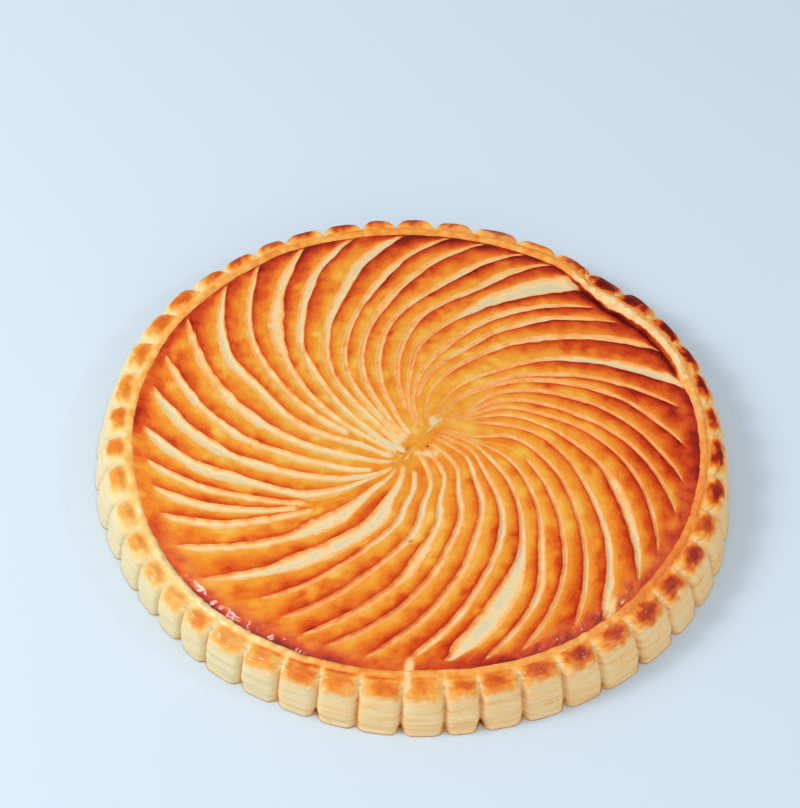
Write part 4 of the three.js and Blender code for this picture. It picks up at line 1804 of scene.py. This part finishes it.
@dataclass(frozen=True)
class BakedFinish:
    """Egg-washed skin that browns from cream through gold to chestnut, over pale torn layers."""

    name: str
    streak_scale: tuple[float, float, float]  # steps of the streaks across and along the grain
    layering: float  # how strongly the streaks show in torn pastry
    skin: Stops
    crumb: Stops
    skin_roughness: float = 0.42
    crumb_roughness: float = 0.82
    bump_strength: float = 0.5
    bump_distance: float = 0.0006  # metres

    def build(self) -> bpy.types.Material:
        """Makes the material's nodes.

        Returns:
            The material.
        """
        material = bpy.data.materials.new(self.name)
        material.use_nodes = True
        nodes = Nodes(material.node_tree)
        place = nodes.add("TexCoord").outputs["Object"]
        grain_uv = nodes.add("UVMap", uv_map="grain").outputs["UV"]
        stretched = nodes.add("Mapping", {"Vector": grain_uv, "Scale": self.streak_scale})
        toast, crumb, wash = (nodes.channel(channel) for channel in Channel)

        mottle = nodes.noise(place, scale=260.0, detail=5.0, roughness=0.62)
        speck = nodes.noise(place, scale=900.0, detail=3.0, roughness=0.6)
        streak = nodes.noise(stretched.outputs["Vector"], scale=1.0, detail=4.0, roughness=0.65)

        browned = nodes.sum(toast, nodes.spread(mottle, 0.34), nodes.spread(streak, 0.2))
        skin_colour = nodes.ramp(browned, self.skin)
        crumb_toast = nodes.sum(toast, nodes.spread(mottle, 0.2), nodes.spread(streak, self.layering))
        crumb_colour = nodes.ramp(nodes.sum(crumb_toast, nodes.spread(speck, 0.22)), self.crumb)
        torn_mask = nodes.step(nodes.math("ADD", crumb, nodes.spread(speck, 0.4)), 0.2, 0.8)
        skin_rough = nodes.math("ADD", nodes.spread(mottle, 0.3), self.skin_roughness)
        torn_speck = nodes.math("MULTIPLY", speck, torn_mask)
        relief = nodes.sum(
            nodes.math("MULTIPLY", mottle, 0.9),
            nodes.math("MULTIPLY", streak, 0.8),
            nodes.math("MULTIPLY", torn_speck, 0.8),
        )
        bump = {"Strength": self.bump_strength, "Distance": self.bump_distance, "Height": relief}
        nodes.shader({
            "Base Color": nodes.mix("RGBA", torn_mask, skin_colour, crumb_colour),
            "Roughness": nodes.mix("FLOAT", torn_mask, skin_rough, self.crumb_roughness),
            "Coat Weight": nodes.math("MULTIPLY", wash, nodes.step(mottle, 0.3, 0.5)),
            "Coat Roughness": 0.13,
            "IOR": 1.45,
            "Specular IOR Level": 0.05,
            "Normal": nodes.add("Bump", bump).outputs["Normal"],
        })
        return material


Socket = bpy.types.NodeSocket
Input = Socket | float | tuple[float, ...]  # what a node's socket may be given
Fed = dict[str | int, Input]  # the same for several sockets, by name or number


@dataclass
class Nodes:
    """Short ways to put shader nodes together."""

    tree: bpy.types.NodeTree

    def __post_init__(self) -> None:
        """Empties the tree."""
        self.tree.nodes.clear()

    def add(self, kind: str, fed: Fed | None = None, **settings: str) -> bpy.types.Node:
        """Adds a node.

        Args:
            kind: the end of its type's name, after ShaderNode.
            fed: sockets to join to its own, or values to set them to.
            settings: the node's properties, which are set first.

        Returns:
            The node.
        """
        node = self.tree.nodes.new("ShaderNode" + kind)
        for name, setting in settings.items():
            setattr(node, name, setting)
        for socket, value in (fed or {}).items():
            if isinstance(value, Socket):
                self.tree.links.new(value, node.inputs[socket])
            else:
                node.inputs[socket].default_value = value
        return node

    def shader(self, fed: Fed) -> None:
        """The surface shader, joined to the output."""
        surface = self.add("BsdfPrincipled", fed).outputs["BSDF"]
        self.add("OutputMaterial", {"Surface": surface})

    def channel(self, channel: Channel) -> Socket:
        """What the grid says at each point, under that name."""
        return self.add("Attribute", attribute_name=channel.value).outputs["Fac"]

    def noise(self, place: Socket, scale: float, detail: float, roughness: float) -> Socket:
        """Fractal noise at a place, about 0.5."""
        fed = {"Vector": place, "Scale": scale, "Detail": detail, "Roughness": roughness}
        return self.add("TexNoise", fed).outputs["Fac"]

    def math(self, operation: str, first: Input, second: Input) -> Socket:
        """One sum, product or other operation of two sockets or numbers."""
        return self.add("Math", {0: first, 1: second}, operation=operation).outputs[0]

    def sum(self, *parts: Input) -> Socket:
        """Several sockets or numbers added up."""
        return reduce(lambda total, part: self.math("ADD", total, part), parts)

    def spread(self, noise_value: Socket, amount: float) -> Socket:
        """Noise about 0.5 as a change about 0: amount * (noise - 0.5)."""
        return self.math("MULTIPLY", self.math("SUBTRACT", noise_value, 0.5), amount)

    def step(self, value: Socket, low: float, high: float) -> Socket:
        """Soft step from 0 at low to 1 at high."""
        fed = {"Value": value, "From Min": low, "From Max": high}
        return self.add("MapRange", fed, interpolation_type="SMOOTHSTEP").outputs["Result"]

    def ramp(self, value: Socket, stops: Stops) -> Socket:
        """Runs through colours.

        Args:
            value: where to read them, from 0 to 1.
            stops: the colours and their places.

        Returns:
            The colour there.
        """
        node = self.add("ValToRGB", {"Fac": value})
        elements = node.color_ramp.elements
        while len(elements) < len(stops):
            elements.new(1.0)
        for element, (position, colour) in zip(elements, stops):
            element.position = position
            element.color = (*colour, 1.0)
        return node.outputs["Color"]

    def mix(self, kind: str, share: Socket, first: Input, second: Input) -> Socket:
        """Mixes two colours, of kind RGBA, or two numbers, of kind FLOAT: a share of 0 is the first."""
        fed = {"Factor": share, "A": first, "B": second}
        return self.add("Mix", fed, data_type=kind).outputs["Result"]


# ---- Studio ----


@dataclass(frozen=True)
class Lamp:
    """A soft square lamp that faces the middle of the pastry."""

    name: str
    place: tuple[float, float, float]  # metres
    size: float
    power: float
    colour: Colour

    def make(self) -> None:
        """Hangs the lamp."""
        data = bpy.data.lights.new(self.name, "AREA")
        data.shape = "SQUARE"
        data.size = self.size
        data.energy = self.power
        data.color = self.colour
        lamp = bpy.data.objects.new(self.name, data)
        lamp.location = self.place
        lamp.rotation_mode = "QUATERNION"
        lamp.rotation_quaternion = (-Vector(self.place)).to_track_quat("-Z", "Y")
        bpy.context.scene.collection.objects.link(lamp)


@dataclass(frozen=True)
class Studio:
    """Plain pale floor, soft light and the camera."""

    elevation: float = 48.8  # degrees above the floor
    distance: float = 1040.0
    aim: tuple[float, float, float] = (-7.15, 35.6, 0.0)
    roll: float = 2.94
    lens: float = 107.06
    floor_half: float = 4.0  # metres
    floor_colour: Colour = (0.6, 0.7, 0.8)
    sky_colour: Colour = (0.92, 0.96, 1.0)
    sky_strength: float = 0.64
    lamps: tuple[Lamp, ...] = (
        Lamp("window", (-1.16, -0.2, 1.04), 0.6, 12.3, (1.0, 0.98, 0.95)),
        Lamp("pane", (-1.14, -0.24, 1.06), 0.17, 2.2, (1.0, 0.97, 0.97)),
        Lamp("side", (1.05, -0.26, 1.04), 0.16, 1.8, (1.0, 0.96, 0.97)),
        Lamp("fill", (0.5, -1.45, 1.0), 1.2, 6.8, (1.0, 0.96, 0.9)),
    )

    def floor(self) -> None:
        """A big flat floor just under the pastry."""
        mesh = bpy.data.meshes.new("floor")
        half = self.floor_half
        corners = [(-half, -half, 0), (half, -half, 0), (half, half, 0), (-half, half, 0)]
        mesh.from_pydata(corners, [], [(0, 1, 2, 3)])
        material = bpy.data.materials.new("pale_floor")
        material.use_nodes = True
        matt = {"Base Color": (*self.floor_colour, 1.0), "Roughness": 0.9, "Specular IOR Level": 0.1}
        Nodes(material.node_tree).shader(matt)
        mesh.materials.append(material)
        floor = bpy.data.objects.new("floor", mesh)
        bpy.context.scene.collection.objects.link(floor)

    def sky(self) -> None:
        """A pale sky all round."""
        world = bpy.data.worlds.new("pale_sky")
        world.use_nodes = True
        background = world.node_tree.nodes["Background"]
        background.inputs["Color"].default_value = (*self.sky_colour, 1.0)
        background.inputs["Strength"].default_value = self.sky_strength
        bpy.context.scene.world = world

    def camera(self, middle: Array) -> None:
        """The camera at its viewing angle, turned a little about its own axis.

        Args:
            middle: the round's own middle, which is the scene's origin.
        """
        data = bpy.data.cameras.new("camera")
        data.lens = self.lens
        data.sensor_width = 36.0
        data.clip_start = 0.05
        data.clip_end = 50.0
        camera = bpy.data.objects.new("camera", data)
        tilt = math.radians(self.elevation)
        back = Vector((0.0, -math.cos(tilt), math.sin(tilt)))
        aim = Vector(self.aim) - Vector(middle)
        facing = (-back).to_track_quat("-Z", "Y").to_matrix().to_4x4()
        turn = Matrix.Rotation(math.radians(self.roll), 4, "Z")
        camera.matrix_world = Matrix.Translation((aim + back * self.distance) * METRES) @ facing @ turn
        bpy.context.scene.collection.objects.link(camera)
        bpy.context.scene.camera = camera

    def set_up(self, middle: Array) -> None:
        """Makes floor, sky, lamps and camera, and keeps display colours plain.

        Args:
            middle: the round's own middle.
        """
        self.floor()
        self.sky()
        for lamp in self.lamps:
            lamp.make()
        self.camera(middle)
        view = bpy.context.scene.view_settings
        view.view_transform = "Standard"
        view.look = "None"


def main() -> None:
    """Builds the pastry and its studio."""
    logging.basicConfig(level=logging.INFO, format="%(name)s: %(message)s")
    outline = Round()
    rim_finish = BakedFinish("baked_rim", (60.0, 230.0, 1.0), 0.24, PALE, LAYERS).build()
    lid_finish = BakedFinish("baked_lid", (260.0, 22.0, 1.0), 0.16, GOLDEN, CUT).build()
    Rim(outline).grid().make("rim_and_wall", rim_finish)
    Lid(outline, Swirl(outline.rim_radius)).grid().make("scored_lid", lid_finish)
    Studio().set_up(outline.middle())


if __name__ == "__main__":
    main()
